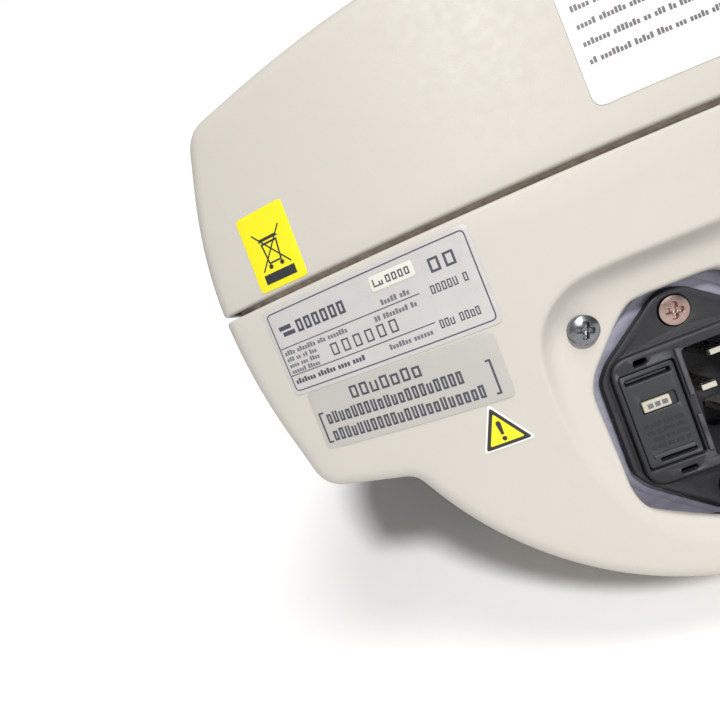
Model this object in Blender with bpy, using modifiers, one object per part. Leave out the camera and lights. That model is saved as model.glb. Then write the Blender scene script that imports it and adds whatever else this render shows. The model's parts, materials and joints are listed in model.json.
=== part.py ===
"""Auto chart projector for an optician's refraction room, seen from behind: a two-piece plastic casing with a
power inlet at the rear, a chart disc in the round belly and a focusing lens at the front, on a low tilting foot.

The body frame used below has its origin on the rear face, on the seam between the covers: x to the
projector's left, y to the rear, z up, in millimetres. row() moves it to the model's frame in metres."""

import math

import bmesh
import bpy
from mathutils import Matrix, Vector

# ---------------------------------------------------------------- driving dimensions (millimetres)
MM = 0.001
SEAM_HEIGHT = 104.0          # seam above the table
REAR_TO_CENTRE = 142.9       # rear face to the middle of the whole length
SEAM_GAP = 0.7               # half of the groove between the covers
WALL = 2.6                   # moulded wall
FRONT_EDGE = -256.0          # where both covers end and the front bezel starts

HALF_WIDTH = 94.8            # at the seam, on the rear face
SIDE_CURVE_UP = 0.0057       # how fast the upper sides lean in
SIDE_CURVE_DOWN = 0.0042
TOP_HEIGHT = 49.4
TOP_CROWN = 0.00068
SHOULDER_Z = -50.2           # flat underside beside the belly
BELLY_Z, BELLY_R = -17.6, 71.0
BELLY_END = (-78.0, -90.0)   # the belly's front wall starts and ends here
REAR_RADIUS = 183.6          # plan radius of the rear face
LEAN_UP, LEAN_DOWN = 0.056, 0.035
EDGE_R = 3.5                 # rounding round the rear face

OPTIC_Z = 13.0               # optical axis above the seam
CHART_CENTRE = (0.0, -30.0)  # x, z of the chart disc's axle
MASK_CENTRE = (-19.05, 2.0)
GEAR_MODULE = 1.5
CHART_TEETH, CHART_PINION_TEETH = 70, 14
MASK_TEETH, MASK_PINION_TEETH = 36, 12
CHART_PINION_ANGLE, MASK_PINION_ANGLE = 20.0, 150.0
DISC_PLATE_Y = (-86.0, -84.5)

PIVOT_Y, PIVOT_Z = -160.0, -70.0
BASE_R = 64.0
FOOT_AT = 38.0

DOOR_HALF, DOOR_FRONT, DOOR_REAR = 36.0, -80.0, -22.0
SWITCH_Y, SWITCH_Z = -215.0, -22.0
ROCKER_PIVOT = 3.0           # the rocker's axle stands this far inside the wall
SLOT_COUNT, SLOT_Y, SLOT_PITCH, SLOT_WIDE = 5, -66.0, 8.0, 3.0
BEZEL_EDGE_R, BEZEL_HOLE_R = 4.5, 26.3
SEAM_POINTS = 12             # divisions along the seam on the rear face
WELL_SLOPE = 4.5             # how far the recess's wall slopes in
COVER_SCREW_X, COVER_SCREW_Z = 20.1, -31.3

INLET_Z = -55.3              # centre of the power inlet
INLET_SCREW = 20.0           # its screws stand this far above and below
FLANGE_Y = -8.2              # the flange's outer face
PLATE_Y = (-12.0, -10.4)     # chassis plate behind the flange

# ---------------------------------------------------------------- scene and small helpers
for old in list(bpy.data.objects):
    bpy.data.objects.remove(old, do_unlink=True)

parts = bpy.data.collections.new("chart_projector")
cutters = bpy.data.collections.new("cutters")
for collection in (parts, cutters):
    bpy.context.scene.collection.children.link(collection)


def row(x, y, z):
    return Vector((x, y + REAR_TO_CENTRE, z + SEAM_HEIGHT)) * MM


def material(name, colour, roughness, metallic=0.0):
    made = bpy.data.materials.new(name)
    made.use_nodes = True
    shader = made.node_tree.nodes["Principled BSDF"]
    shader.inputs["Base Color"].default_value = (*colour, 1.0)
    shader.inputs["Roughness"].default_value = roughness
    shader.inputs["Metallic"].default_value = metallic
    return made


CASING = material("casing", (0.75, 0.73, 0.69), 0.45)
BLACK = material("black_plastic", (0.03, 0.034, 0.04), 0.4)
DARK = material("dark_grey_plastic", (0.08, 0.085, 0.09), 0.5)
RUBBER = material("rubber", (0.02, 0.02, 0.02), 0.85)
CHASSIS = material("chassis_zinc", (0.32, 0.32, 0.38), 0.35, 0.8)
STEEL = material("steel", (0.6, 0.6, 0.6), 0.25, 1.0)
BRASS = material("brass", (0.7, 0.6, 0.4), 0.3, 1.0)
CAST = material("cast_base", (0.28, 0.28, 0.29), 0.5, 0.6)
SILVER_LABEL = material("silver_label", (0.68, 0.68, 0.68), 0.35, 0.2)
YELLOW = material("yellow_label", (0.9, 0.9, 0.02), 0.4)
WHITE = material("white_label", (0.95, 0.95, 0.9), 0.4)
GLASS = material("lens_glass", (0.85, 0.9, 0.92), 0.05)
CERAMIC = material("ceramic", (0.85, 0.83, 0.78), 0.6)
MIRROR = material("reflector_mirror", (0.9, 0.9, 0.9), 0.05, 1.0)
COPPER = material("copper_winding", (0.6, 0.3, 0.12), 0.4, 0.8)
BOARD = material("circuit_board", (0.03, 0.2, 0.08), 0.5)
CREAM = material("cream_insert", (0.62, 0.57, 0.45), 0.5)
IR_RED = material("infrared_window", (0.06, 0.0, 0.01), 0.15)
LAMP_GREEN = material("pilot_green", (0.1, 0.6, 0.2), 0.3)


def add(name, mesh, finish, collection=parts):
    made = bpy.data.objects.new(name, mesh)
    collection.objects.link(made)
    if finish:
        made.data.materials.append(finish)
    if collection is cutters:
        made.hide_render = True
        made.display_type = "WIRE"
    return made


def shade(mesh):
    mesh.shade_smooth()
    mesh.set_sharp_from_angle(angle=math.radians(35))


def mesh_of(bm, name):
    bmesh.ops.recalc_face_normals(bm, faces=bm.faces)
    mesh = bpy.data.meshes.new(name)
    bm.to_mesh(mesh)
    bm.free()
    shade(mesh)
    return mesh


def box(name, low, high, finish, bevel=0.0, collection=parts):
    """A block between two corners of the body frame."""
    bm = bmesh.new()
    bmesh.ops.create_cube(bm, size=1.0)
    a, b = row(*low), row(*high)
    for v in bm.verts:
        v.co = Vector([a[i] + (v.co[i] + 0.5) * (b[i] - a[i]) for i in range(3)])
    made = add(name, mesh_of(bm, name), finish, collection)
    if bevel:
        rounding(made, bevel)
    return made


def rounding(made, width, segments=1, angle=35):
    bevel = made.modifiers.new("rounding", "BEVEL")
    bevel.width = width * MM
    bevel.segments = segments
    bevel.limit_method = "ANGLE"
    bevel.angle_limit = math.radians(angle)


TURN = {  # local z of a flat outline or a turned profile, laid along each body axis
    "x": Matrix(((0, 0, 1, 0), (1, 0, 0, 0), (0, 1, 0, 0), (0, 0, 0, 1))),
    "y": Matrix(((0, 1, 0, 0), (0, 0, 1, 0), (1, 0, 0, 0), (0, 0, 0, 1))),
    "z": Matrix.Identity(4),
}


def flat(name, loops, start, end, axis, finish, collection=parts):
    """A flat outline with holes, thick from start to end along an axis. Its points are the other two axes."""
    curve = bpy.data.curves.new(name, "CURVE")
    curve.dimensions = "2D"
    curve.fill_mode = "BOTH"
    curve.extrude = (end - start) / 2 * MM
    for loop in loops:
        spline = curve.splines.new("POLY")
        spline.points.add(len(loop) - 1)
        spline.use_cyclic_u = True
        for point, (u, v) in zip(spline.points, loop):
            if axis == "y":
                u, v = v, u
            point.co = (u * MM, v * MM, 0.0, 1.0)
    raw = bpy.data.objects.new(name + "_outline", curve)
    cutters.objects.link(raw)
    mesh = bpy.data.meshes.new_from_object(raw.evaluated_get(bpy.context.evaluated_depsgraph_get()))
    bpy.data.objects.remove(raw)
    bm = bmesh.new()
    bm.from_mesh(mesh)
    bmesh.ops.remove_doubles(bm, verts=bm.verts, dist=0.00001)
    middle = Vector((0, 0, (start + end) / 2 * MM))
    bmesh.ops.translate(bm, verts=bm.verts, vec=middle)
    bmesh.ops.transform(bm, matrix=TURN[axis], verts=bm.verts)
    bmesh.ops.translate(bm, verts=bm.verts, vec=row(0, 0, 0))
    bm.to_mesh(mesh)
    bm.free()
    shade(mesh)
    mesh.materials.clear()
    return add(name, mesh, finish, collection)


def turned(name, profile, centre, axis, finish, steps=32, collection=parts):
    """A turned shape about an axis through centre. The profile runs (radius, along), down its outer side."""
    mesh = bpy.data.meshes.new(name)
    points = [(r * MM, 0.0, h * MM) for r, h in profile]
    closed = profile[0][0] > 0
    edges = [(i, i + 1) for i in range(len(points) - 1)] + ([(len(points) - 1, 0)] if closed else [])
    mesh.from_pydata(points, edges, [])
    raw = bpy.data.objects.new(name + "_profile", mesh)
    cutters.objects.link(raw)
    screw = raw.modifiers.new("turn", "SCREW")
    screw.steps = screw.render_steps = steps
    screw.use_merge_vertices = True
    screw.merge_threshold = 0.000001
    made = bpy.data.meshes.new_from_object(raw.evaluated_get(bpy.context.evaluated_depsgraph_get()))
    bpy.data.objects.remove(raw)
    made.transform(Matrix.Translation(row(*centre)) @ TURN[axis])
    shade(made)
    return add(name, made, finish, collection)


def rod(name, radius, start, end, centre, axis, finish, steps=24, inner=0.0, collection=parts):
    """A plain shaft, or a tube where inner is given, from start to end along an axis."""
    if inner:
        profile = [(radius, end), (radius, start), (inner, start), (inner, end)]
    else:
        profile = [(0, end), (radius, end), (radius, start), (0, start)]
    return turned(name, profile, centre, axis, finish, steps, collection)


def boolean(made, other, operation):
    step = made.modifiers.new(operation.lower(), "BOOLEAN")
    step.operation = operation
    step.object = other
    step.solver = "EXACT"


def cut(made, *others):
    for other in others:
        boolean(made, other, "DIFFERENCE")


def join(made, *others):
    for other in others:
        boolean(made, other, "UNION")


def many(name, makers):
    """Several separate solids joined into one cutter."""
    bm = bmesh.new()
    for made in makers:
        bm.from_mesh(made.data)
        bpy.data.objects.remove(made)
    return add(name, mesh_of(bm, name), None, cutters)


def set_origin(made, x, y, z):
    """Moves an object's origin to a point of the body frame and leaves its shape where it is."""
    point = row(x, y, z)
    made.data.transform(Matrix.Translation(-point))
    made.location = point


def circle(radius, count=16, centre=(0.0, 0.0)):
    return [(centre[0] + radius * math.cos(2 * math.pi * i / count),
             centre[1] + radius * math.sin(2 * math.pi * i / count)) for i in range(count)]


# ---------------------------------------------------------------- the casing's shape
def smooth(t):
    t = min(1.0, max(0.0, t))
    return t * t * (3 - 2 * t)


def width_scale(y):
    """The sides swell a little behind the front and draw in towards the nose."""
    return 1 + 0.03 * smooth((-24 - y) / 80) - 0.11 * smooth((-140 - y) / 130)


def top_scale(y):
    return 1 - 0.07 * smooth((-95 - y) / 180)


def rear_y(x, z):
    """The rear face: a shallow arc in plan, leaning forwards above and out below the seam."""
    return -x * x / (2 * REAR_RADIUS) - (LEAN_UP if z > 0 else LEAN_DOWN) * z


def softened(points, corner, reach, steps):
    """Replaces the corner point by a smooth bend that starts and ends reach away from it."""
    before, at, after = (Vector(points[i]) for i in (corner - 1, corner, corner + 1))
    a = at + (before - at).normalized() * reach
    b = at + (after - at).normalized() * reach
    bend = [a * (1 - t) ** 2 + at * 2 * t * (1 - t) + b * t * t for t in [i / steps for i in range(steps + 1)]]
    return points[:corner] + [tuple(p) for p in bend] + points[corner + 1:]


def lower_half(y, belly):
    """Right half of the lower cover's section: side, corner, shoulder, belly."""
    wide = width_scale(y)
    side = [(HALF_WIDTH - SIDE_CURVE_DOWN * z * z, z) for z in (-SEAM_GAP, -13.0, -26.0, -38.0)]
    corner = (86.2, -47.9)
    shoulder = (63.3, SHOULDER_Z)
    start = math.atan2(SHOULDER_Z - BELLY_Z, 63.3)
    arc = []
    for i in range(1, 9):
        angle = start + (-math.pi / 2 - start) * i / 8
        x, z = BELLY_R * math.cos(angle), BELLY_Z + BELLY_R * math.sin(angle)
        arc.append((x, SHOULDER_Z + (z - SHOULDER_Z) * belly))
    points = side + [corner, (74.0, -49.1), shoulder] + arc
    points = softened(points, 4, 5.5, 2)
    return [(x * wide, z) for x, z in points]


def upper_half(y):
    """Right half of the upper cover's section: side, corner, crowned top."""
    wide, high = width_scale(y), top_scale(y)
    side = [(HALF_WIDTH - SIDE_CURVE_UP * z * z, z) for z in (SEAM_GAP, 11.0, 22.0, 33.0)]
    top = [(x, TOP_HEIGHT - TOP_CROWN * x * x) for x in (70.0, 52.0, 35.0, 17.0, 0.0)]
    points = softened(side + [(84.2, 44.9)] + top, 4, 5.0, 2)
    return [(x * wide, SEAM_GAP + (z - SEAM_GAP) * high) for x, z in points]


def mirrored(half):
    return half + [(-x, z) for x, z in reversed(half[:-1])]


def inset(points, distance):
    """Moves an open section line towards the body's inside, keeping its ends on their own height."""
    moved = []
    for i, (x, z) in enumerate(points):
        before, after = points[max(0, i - 1)], points[min(len(points) - 1, i + 1)]
        along = Vector((after[0] - before[0], after[1] - before[1])).normalized()
        inward = Vector((along.y, -along.x)) if points[0][1] < 0 else Vector((-along.y, along.x))
        if i in (0, len(points) - 1):
            inward = Vector((math.copysign(1, -x), 0))
        moved.append((x + inward.x * distance, z + inward.y * distance))
    return moved


def sheet(rings):
    """An open sheet through rings of equal length, ring after ring, which Solidify then makes a wall."""
    bm = bmesh.new()
    rows = [[bm.verts.new(row(*p)) for p in points] for points in rings]
    for a, b in zip(rows, rows[1:]):
        for i in range(len(a) - 1):
            bm.faces.new((a[i], a[i + 1], b[i + 1], b[i]))
    return bm, rows


def depth_rings(section, stations):
    """Rings from the rear edge's end forward: the first follows the curved rear face."""
    first = section(0.0)
    rings = [[(x, rear_y(x, z) - EDGE_R, z) for x, z in first]]
    for y in stations:
        rings.append([(x, y, z) for x, z in section(y)])
    return rings


def rear_rings(outline):
    """The rounded edge between the sides and the rear face, from the side inward."""
    rings = []
    for share in (1, 2):
        angle = math.pi / 4 * share
        line = inset(outline, EDGE_R * (1 - math.cos(angle)))
        rings.append([(x, rear_y(x, z) - EDGE_R * (1 - math.sin(angle)), z) for x, z in line])
    return rings


def walled(name, bm, finish):
    """Gives an outward-facing sheet its wall, on the inside."""
    mesh = bpy.data.meshes.new(name)
    bm.to_mesh(mesh)
    bm.free()
    shade(mesh)
    made = add(name, mesh, finish)
    wall = made.modifiers.new("wall", "SOLIDIFY")
    wall.thickness = WALL * MM
    wall.offset = -1.0
    wall.use_even_offset = True
    wall.use_rim = True
    return made


def belly_share(y):
    """1 along the belly, falling to 0 over its rounded front wall."""
    t = (BELLY_END[0] - y) / (BELLY_END[0] - BELLY_END[1])
    return math.sqrt(max(0.0, 1 - min(1.0, max(0.0, t)) ** 2))


LOWER_STATIONS = (-40, -62, -78, -84, -88, -89.6, -90, -125, -165, -210, FRONT_EDGE)
UPPER_STATIONS = (-40, -62, -95, -130, -165, -210, FRONT_EDGE)

# the recess round the power inlet: its half outline in (x, z), and the cut-out in its floor
WELL = [(0, -20), (12, -20), (20, -20.6), (26, -24), (29.8, -29.5), (31, -37), (31, -47), (30.2, -56),
        (28, -63), (25.6, -69), (19, -77), (9, -80.5), (0, -81)]
CUTOUT = [(0, -29.3), (6, -29.3), (9.5, -29.6), (13, -32.4), (17, -36.6), (21, -40.8), (22.7, -44.5),
          (22.7, -55), (22.7, -65), (21.4, -69.2), (16, -72.4), (8, -75.8), (0, -77.6)]


def floor_y(x, z):
    """The recess's flat floor, which meets the rear face again below the inlet."""
    return min(rear_y(x, z), -4.2 - 0.125 * (z + 31))


def where_ray_meets(loop, centre, x, z):
    """The point of a closed loop that lies the same way from centre as (x, z) does."""
    way = Vector((x, z)) - centre
    for a, b in zip(loop, loop[1:] + loop[:1]):
        p, q = Vector(a) - centre, Vector(b) - centre
        side_p, side_q = way.x * p.y - way.y * p.x, way.x * q.y - way.y * q.x
        if side_p * side_q <= 0 and side_p != side_q and (p + q).dot(way) > 0:
            return centre + p.lerp(q, side_p / (side_p - side_q))
    return centre


def strip(bm, a, b, closed=True):
    """Faces between two lines of vertices; a shared vertex makes a triangle."""
    count = len(a)
    for i in range(count if closed else count - 1):
        j = (i + 1) % count
        corners = []
        for v in (a[i], a[j], b[j], b[i]):
            if v not in corners:
                corners.append(v)
        if len(corners) > 2:
            bm.faces.new(corners)


def face_out(bm, up):
    """Turns an open cover's faces outward: up for the upper cover, down for the lower one."""
    bmesh.ops.recalc_face_normals(bm, faces=bm.faces)
    if sum(f.normal.z * f.calc_area() for f in bm.faces) * up < 0:
        bmesh.ops.reverse_faces(bm, faces=bm.faces)


def lower_cover():
    outline = mirrored(lower_half(0.0, 1.0))
    rings = depth_rings(lambda y: mirrored(lower_half(y, belly_share(y))), LOWER_STATIONS)
    bm, rows = sheet(list(reversed(rings)) + rear_rings(outline))
    edge = rows[-1]
    right_x = edge[0].co.x / MM
    seam = []
    for i in range(1, SEAM_POINTS):
        x = -right_x + 2 * right_x * i / SEAM_POINTS
        seam.append(bm.verts.new(row(x, rear_y(x, -SEAM_GAP), -SEAM_GAP)))
    outer = edge + seam
    centre = Vector((0.0, -52.0))
    well_loop, cut_loop = ([*half, *((-x, z) for x, z in reversed(half[1:-1]))] for half in (WELL, CUTOUT))
    start = [Vector((v.co.x / MM, v.co.z / MM - SEAM_HEIGHT)) for v in outer]
    well = [where_ray_meets(well_loop, centre, *p) for p in start]
    rim = [where_ray_meets(cut_loop, centre, *p) for p in start]
    last = outer
    for share in (0.25, 0.5, 0.75, 1.0):
        line = [p.lerp(q, share) for p, q in zip(start, well)]
        line = [bm.verts.new(row(p.x, rear_y(*p), p.y)) for p in line]
        strip(bm, last, line)
        last = line
    slope = [p.lerp(q, min(0.45, WELL_SLOPE / max((q - p).length, 1.0))) for p, q in zip(well, rim)]
    for line in (slope, rim):
        line = [bm.verts.new(row(p.x, floor_y(*p), p.y)) for p in line]
        strip(bm, last, line)
        last = line
    face_out(bm, -1)
    return walled("lower_shell", bm, CASING)


def upper_sheet():
    rings = depth_rings(lambda y: mirrored(upper_half(y)), UPPER_STATIONS)
    bm, rows = sheet(list(reversed(rings)) + rear_rings(mirrored(upper_half(0.0))))
    edge = rows[-1]
    count = len(edge)
    ends = (0, count - 1)
    right_x = edge[0].co.x / MM
    last = edge
    for share in (0.5, 1.0):
        line = []
        for i, v in enumerate(edge):
            at = Vector((v.co.x / MM, v.co.z / MM - SEAM_HEIGHT))
            p = at.lerp(Vector((right_x * (1 - 2 * i / (count - 1)), SEAM_GAP)), share)
            line.append(v if i in ends else bm.verts.new(row(p.x, rear_y(*p), p.y)))
        strip(bm, last, line, closed=False)
        last = line
    face_out(bm, 1)
    return bm


def bezel_y(x, z):
    """The front bezel's domed face."""
    return -284.0 + x * x / 420 + z * z / 500


def front_cap():
    """The bezel closes both covers in front and opens round the focus ring."""
    lower = mirrored(lower_half(FRONT_EDGE, 0.0))
    upper = mirrored(upper_half(FRONT_EDGE))
    low_in, up_in = (inset(line, BEZEL_EDGE_R) for line in (lower, upper))
    low_mid, up_mid = (inset(line, BEZEL_EDGE_R * 0.3) for line in (lower, upper))
    loops = [low + list(reversed(up)) for low, up in ((lower, upper), (low_mid, up_mid), (low_in, up_in))]
    bm = bmesh.new()
    lines = [[bm.verts.new(row(x, FRONT_EDGE - 0.4, z)) for x, z in loops[0]],
             [bm.verts.new(row(x, bezel_y(x, z) + BEZEL_EDGE_R, z)) for x, z in loops[0]],
             [bm.verts.new(row(x, bezel_y(x, z) + BEZEL_EDGE_R * 0.3, z)) for x, z in loops[1]]]
    hole = Vector((0.0, OPTIC_Z))
    for share in (0.0, 0.5, 1.0):
        line = []
        for p in map(Vector, loops[2]):
            way = (p - hole).normalized() * BEZEL_HOLE_R
            q = p.lerp(hole + way, share)
            line.append(bm.verts.new(row(q.x, bezel_y(*q), q.y)))
        lines.append(line)
    for a, b in zip(lines, lines[1:]):
        strip(bm, a, b)
    bmesh.ops.recalc_face_normals(bm, faces=bm.faces)
    if sum(f.normal.y * f.calc_area() for f in bm.faces) > 0:
        bmesh.ops.reverse_faces(bm, faces=bm.faces)
    return walled("front_bezel", bm, DARK)


def slots(name, sides, z_low, z_high):
    """Upright cooling slots in each side wall."""
    made = []
    for side in sides:
        for i in range(SLOT_COUNT):
            y = SLOT_Y + SLOT_PITCH * i
            made.append(box(name, (side * 80, y, z_low), (side * 105, y + SLOT_WIDE, z_high), None,
                            collection=cutters))
    return many(name, made)


# ---------------------------------------------------------------- the covers
lower_shell = lower_cover()
cut(lower_shell, slots("lower_slots", (-1, 1), -30, -8),
    box("foot_opening", (-27, PIVOT_Y - 18, -60), (27, PIVOT_Y + 18, -40), None, collection=cutters),
    box("switch_opening", (-110, SWITCH_Y - 9.3, SWITCH_Z - 6.8), (-80, SWITCH_Y + 9.3, SWITCH_Z + 6.8), None,
        collection=cutters),
    *(rod("cover_screw_hole", 1.9, -15, 5, (x, 0, COVER_SCREW_Z), "y", None, 12, collection=cutters)
      for x in (-COVER_SCREW_X, COVER_SCREW_X)))

upper_cover = walled("upper_cover", upper_sheet(), CASING)
cut(upper_cover, slots("upper_slots", (-1, 1), 8, 32),
    box("door_opening", (-DOOR_HALF, DOOR_FRONT, 30), (DOOR_HALF, DOOR_REAR, 70), None, collection=cutters))

lamp_door = walled("lamp_door", upper_sheet(), CASING)
boolean(lamp_door, box("door_limits", (-DOOR_HALF + 0.5, DOOR_FRONT + 0.5, 30),
                       (DOOR_HALF - 0.5, DOOR_REAR - 0.5, 70), None, collection=cutters), "INTERSECT")
cut(lamp_door, many("door_louvres", [
    box("louvre", (-24, y, 30), (24, y + 2.4, 70), None, collection=cutters)
    for y in (DOOR_REAR - 12 - 6 * i for i in range(5))]))

front_bezel = front_cap()
cut(front_bezel, box("receiver_opening", (-57.3, -300, -28.3), (-38.7, -240, -19.7), None, collection=cutters),
    rod("pilot_opening", 3.3, -300, -240, (48, 0, -24), "y", None, 16, collection=cutters))
ir_window = box("ir_window", (-57, -278.6, -28), (-39, -270, -20), IR_RED, 0.8)
pilot_lamp = turned("pilot_lamp", [(0, -268), (3, -268), (3, -278), (2, -278.9), (0, -279.2)],
                    (48, 0, -24), "y", LAMP_GREEN, 16)

# the strip of dark foam that closes the seam against stray light
plan = [(HALF_WIDTH * width_scale(y), y) for y in (FRONT_EDGE + 2, -230, -200, -170, -140, -100, -60, -32)]
plan = [(x - WALL - 0.5, y) for x, y in plan] + [(86.6, rear_y(86.6, 0) - WALL - 1.4)]
plan += [(x, rear_y(x, 0) - WALL - 0.5) for x in (78, 65, 52, 39, 26, 13, 0)]
plan += [(-x, y) for x, y in reversed(plan[:-1])]
inner = [(x * (1 - 1.2 / 92), y - (1.2 if abs(x) < 88 and y > -31 else 0)) for x, y in plan]
seam_seal = flat("seam_seal", [plan + list(reversed(inner))], -2.6, 2.6, "z", RUBBER)


# ---------------------------------------------------------------- foot, turntable and tilting joint
base_plate = turned("base_plate", [(0, -91), (BASE_R - 5, -91), (BASE_R - 1, -93.5), (BASE_R, -97),
                                   (BASE_R, -100.2), (0, -100.2)], (0, PIVOT_Y, 0), "z", CAST, 48)
for name, side, end in (("foot_rear_left", 1, 1), ("foot_rear_right", -1, 1),
                        ("foot_front_left", 1, -1), ("foot_front_right", -1, -1)):
    turned(name, [(0, -100.5), (8, -100.5), (8, -102.8), (7, -SEAM_HEIGHT), (0, -SEAM_HEIGHT)],
           (side * FOOT_AT, PIVOT_Y + end * FOOT_AT, 0), "z", RUBBER, 20)
swivel_post = turned("swivel_post", [(0, -82.2), (12, -82.2), (13, -83), (13, -84.8), (9, -84.8), (9, -90.7),
                                     (0, -90.7)], (0, PIVOT_Y, 0), "z", STEEL, 24)

turntable = rod("turntable", 42, -90.4, -85.4, (0, PIVOT_Y, 0), "z", CAST, 40, inner=9.4)


def ear_outline(half, low, radius):
    """An upright lug with a round top about the tilt pin, in (y, z)."""
    top = [(PIVOT_Y + radius * math.cos(math.pi * i / 8), PIVOT_Z + radius * math.sin(math.pi * i / 8))
           for i in range(9)]
    return [(PIVOT_Y - half, low), (PIVOT_Y + half, low)] + top


for side in (-1, 1):
    ear = flat("ear", [ear_outline(18, -87, 12)], side * 28.5 - 2.5, side * 28.5 + 2.5, "x", None, cutters)
    join(turntable, ear)
tilt_bore = rod("tilt_bore", 4.2, -40, 40, (0, PIVOT_Y, PIVOT_Z), "x", None, 24, collection=cutters)
cut(turntable, tilt_bore)
set_origin(turntable, 0, PIVOT_Y, -88)
tilt_pin = turned("tilt_pin", [(0, 33.0), (3.8, 33.0), (3.8, -31.4), (6.5, -31.4), (6.5, -33.6), (0, -33.6)],
                  (0, PIVOT_Y, PIVOT_Z), "x", STEEL, 24)

tilt_hanger = box("tilt_hanger", (-26.4, PIVOT_Y - 17.4, -52.5), (26.4, PIVOT_Y + 17.4, -47.1), CAST)
for side in (-1, 1):
    hanging = [(y, 2 * PIVOT_Z - z) for y, z in ear_outline(14, 2 * PIVOT_Z + 51, 11)]
    lug = flat("lug", [hanging], side * 22 - 3, side * 22 + 3, "x", None, cutters)
    join(tilt_hanger, lug)
cut(tilt_hanger, tilt_bore)
set_origin(tilt_hanger, 0, PIVOT_Y, PIVOT_Z)

knob_star = []
for i in range(36):
    radius = 11.5 - (1.6 if i % 6 in (0, 1) else 0.0)
    angle = 2 * math.pi * i / 36
    knob_star.append((PIVOT_Y + radius * math.cos(angle), PIVOT_Z + radius * math.sin(angle)))
tilt_knob = flat("tilt_knob", [knob_star], 35.0, 45.0, "x", BLACK)
rounding(tilt_knob, 0.8)
join(tilt_knob, rod("knob_boss", 8.0, 33.3, 36, (0, PIVOT_Y, PIVOT_Z), "x", None, 20, collection=cutters))
set_origin(tilt_knob, 35, PIVOT_Y, PIVOT_Z)

# ---------------------------------------------------------------- chassis
chassis = box("chassis", (-66, -248, -46.8), (66, -100, -45.3), CHASSIS)
WING_Y = (-22.0, -20.5)      # the rear plate steps forward beside the curved rear face
for side in (-1, 1):
    x0, x1 = sorted((side * 64.3, side * 65.8))
    rail = flat("rail", [[(-247.6, -46.5), (-92, -46.5), (-92, -40), (WING_Y[0] + 0.5, -40),
                          (WING_Y[0] + 0.5, -25), (-200, -25), (-247.6, -38)]], x0, x1, "x", None, cutters)
    x0, x1 = sorted((side * 48.0, side * 49.5))
    step = box("step", (x0, WING_Y[0] + 0.3, -39.6), (x1, PLATE_Y[1] - 0.3, -25.4), None, collection=cutters)
    x0, x1 = sorted((side * 48.3, side * 66))
    wing = box("wing", (x0, WING_Y[0], -39.8), (x1, WING_Y[1], -25.2), None, collection=cutters)
    join(chassis, rail, step, wing)
rear_half = [(0, -14), (50, -14), (50, -54), (45, -60.6), (24, -78), (0, -82)]
rear_outline = rear_half + [(-x, z) for x, z in reversed(rear_half[1:-1])]
join(chassis, flat("rear_plate", [rear_outline], *PLATE_Y, "y", None, cutters))
cut(chassis, box("inlet_cut", (-17.6, -20, -71.1), (17.6, 0, -39.6), None, collection=cutters),
    many("fixing_holes", [
        rod("fixing_hole", 1.9, -20, 0, (x, 0, z), "y", None, 12, collection=cutters)
        for x, z in ((-COVER_SCREW_X, COVER_SCREW_Z), (COVER_SCREW_X, COVER_SCREW_Z),
                     (0, INLET_Z + INLET_SCREW), (0, INLET_Z - INLET_SCREW))]))

# ---------------------------------------------------------------- power inlet with its fuse drawer
FLANGE_HALF = [(0, -30.3), (3.4, -31.2), (16.6, -41.2), (19, -44.5), (19, -66.1), (16.6, -69.4), (3.4, -79.4),
               (0, -80.3)]
flange = FLANGE_HALF + [(-x, z) for x, z in reversed(FLANGE_HALF[1:-1])]
inlet_housing = flat("inlet_housing", [flange], FLANGE_Y - 1.8, FLANGE_Y, "y", BLACK)
join(inlet_housing, box("inlet_body", (-16.8, -34, -70.3), (16.8, FLANGE_Y - 0.5, -40.3), None,
                        collection=cutters))
rim = box("inlet_rim", (-17, FLANGE_Y - 1, -70.5), (17, FLANGE_Y + 1.2, -40.1), None, 1.2, cutters)
join(inlet_housing, rim)
cavity = [(-15.2, -46.5), (-12.2, -43.2), (2.0, -43.2), (2.0, -67.4), (-12.2, -67.4), (-15.2, -64.1)]
cut(inlet_housing, flat("socket_cavity", [cavity], -24, 0, "y", None, cutters),
    box("drawer_bay", (3.8, -32, -66.0), (15.9, 0, -44.3), None, collection=cutters),
    many("countersinks", [
        turned("countersink", [(0, 1), (3.7, 1), (3.7, FLANGE_Y - 0.3), (1.9, FLANGE_Y - 1.7), (1.9, -12),
                               (0, -12)], (0, 0, INLET_Z + s * INLET_SCREW), "y", None, 20, cutters)
        for s in (-1, 1)]))
for name, x, z in (("pin_line", -8.6, INLET_Z + 7), ("pin_neutral", -8.6, INLET_Z - 7),
                   ("pin_earth", -4.6, INLET_Z)):
    box(name, (x - 2, -23.7, z - 1), (x + 2, -14.5, z + 1), BRASS, 0.4)

fuse_drawer = box("fuse_drawer", (4.1, -31.6, -65.7), (15.6, -7.5, -44.6), BLACK, 0.4)
cut(fuse_drawer, rod("fuse_bore_upper", 3.0, -33, -9.6, (9.85, 0, -49.9), "y", None, 16, collection=cutters),
    rod("fuse_bore_lower", 3.0, -33, -9.6, (9.85, 0, -60.6), "y", None, 16, collection=cutters),
    box("window_recess", (6.7, -8.3, -53.9), (13.3, -5, -50.9), None, collection=cutters))
set_origin(fuse_drawer, 9.85, -7.5, INLET_Z)
for name, z in (("fuse_upper", -49.9), ("fuse_lower", -60.6)):
    rod(name, 2.6, -30.6, -10.6, (9.85, 0, z), "y", GLASS, 16)
voltage_window = box("voltage_window", (7.0, -8.0, -53.6), (13.0, -7.3, -51.2), CREAM)

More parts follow.
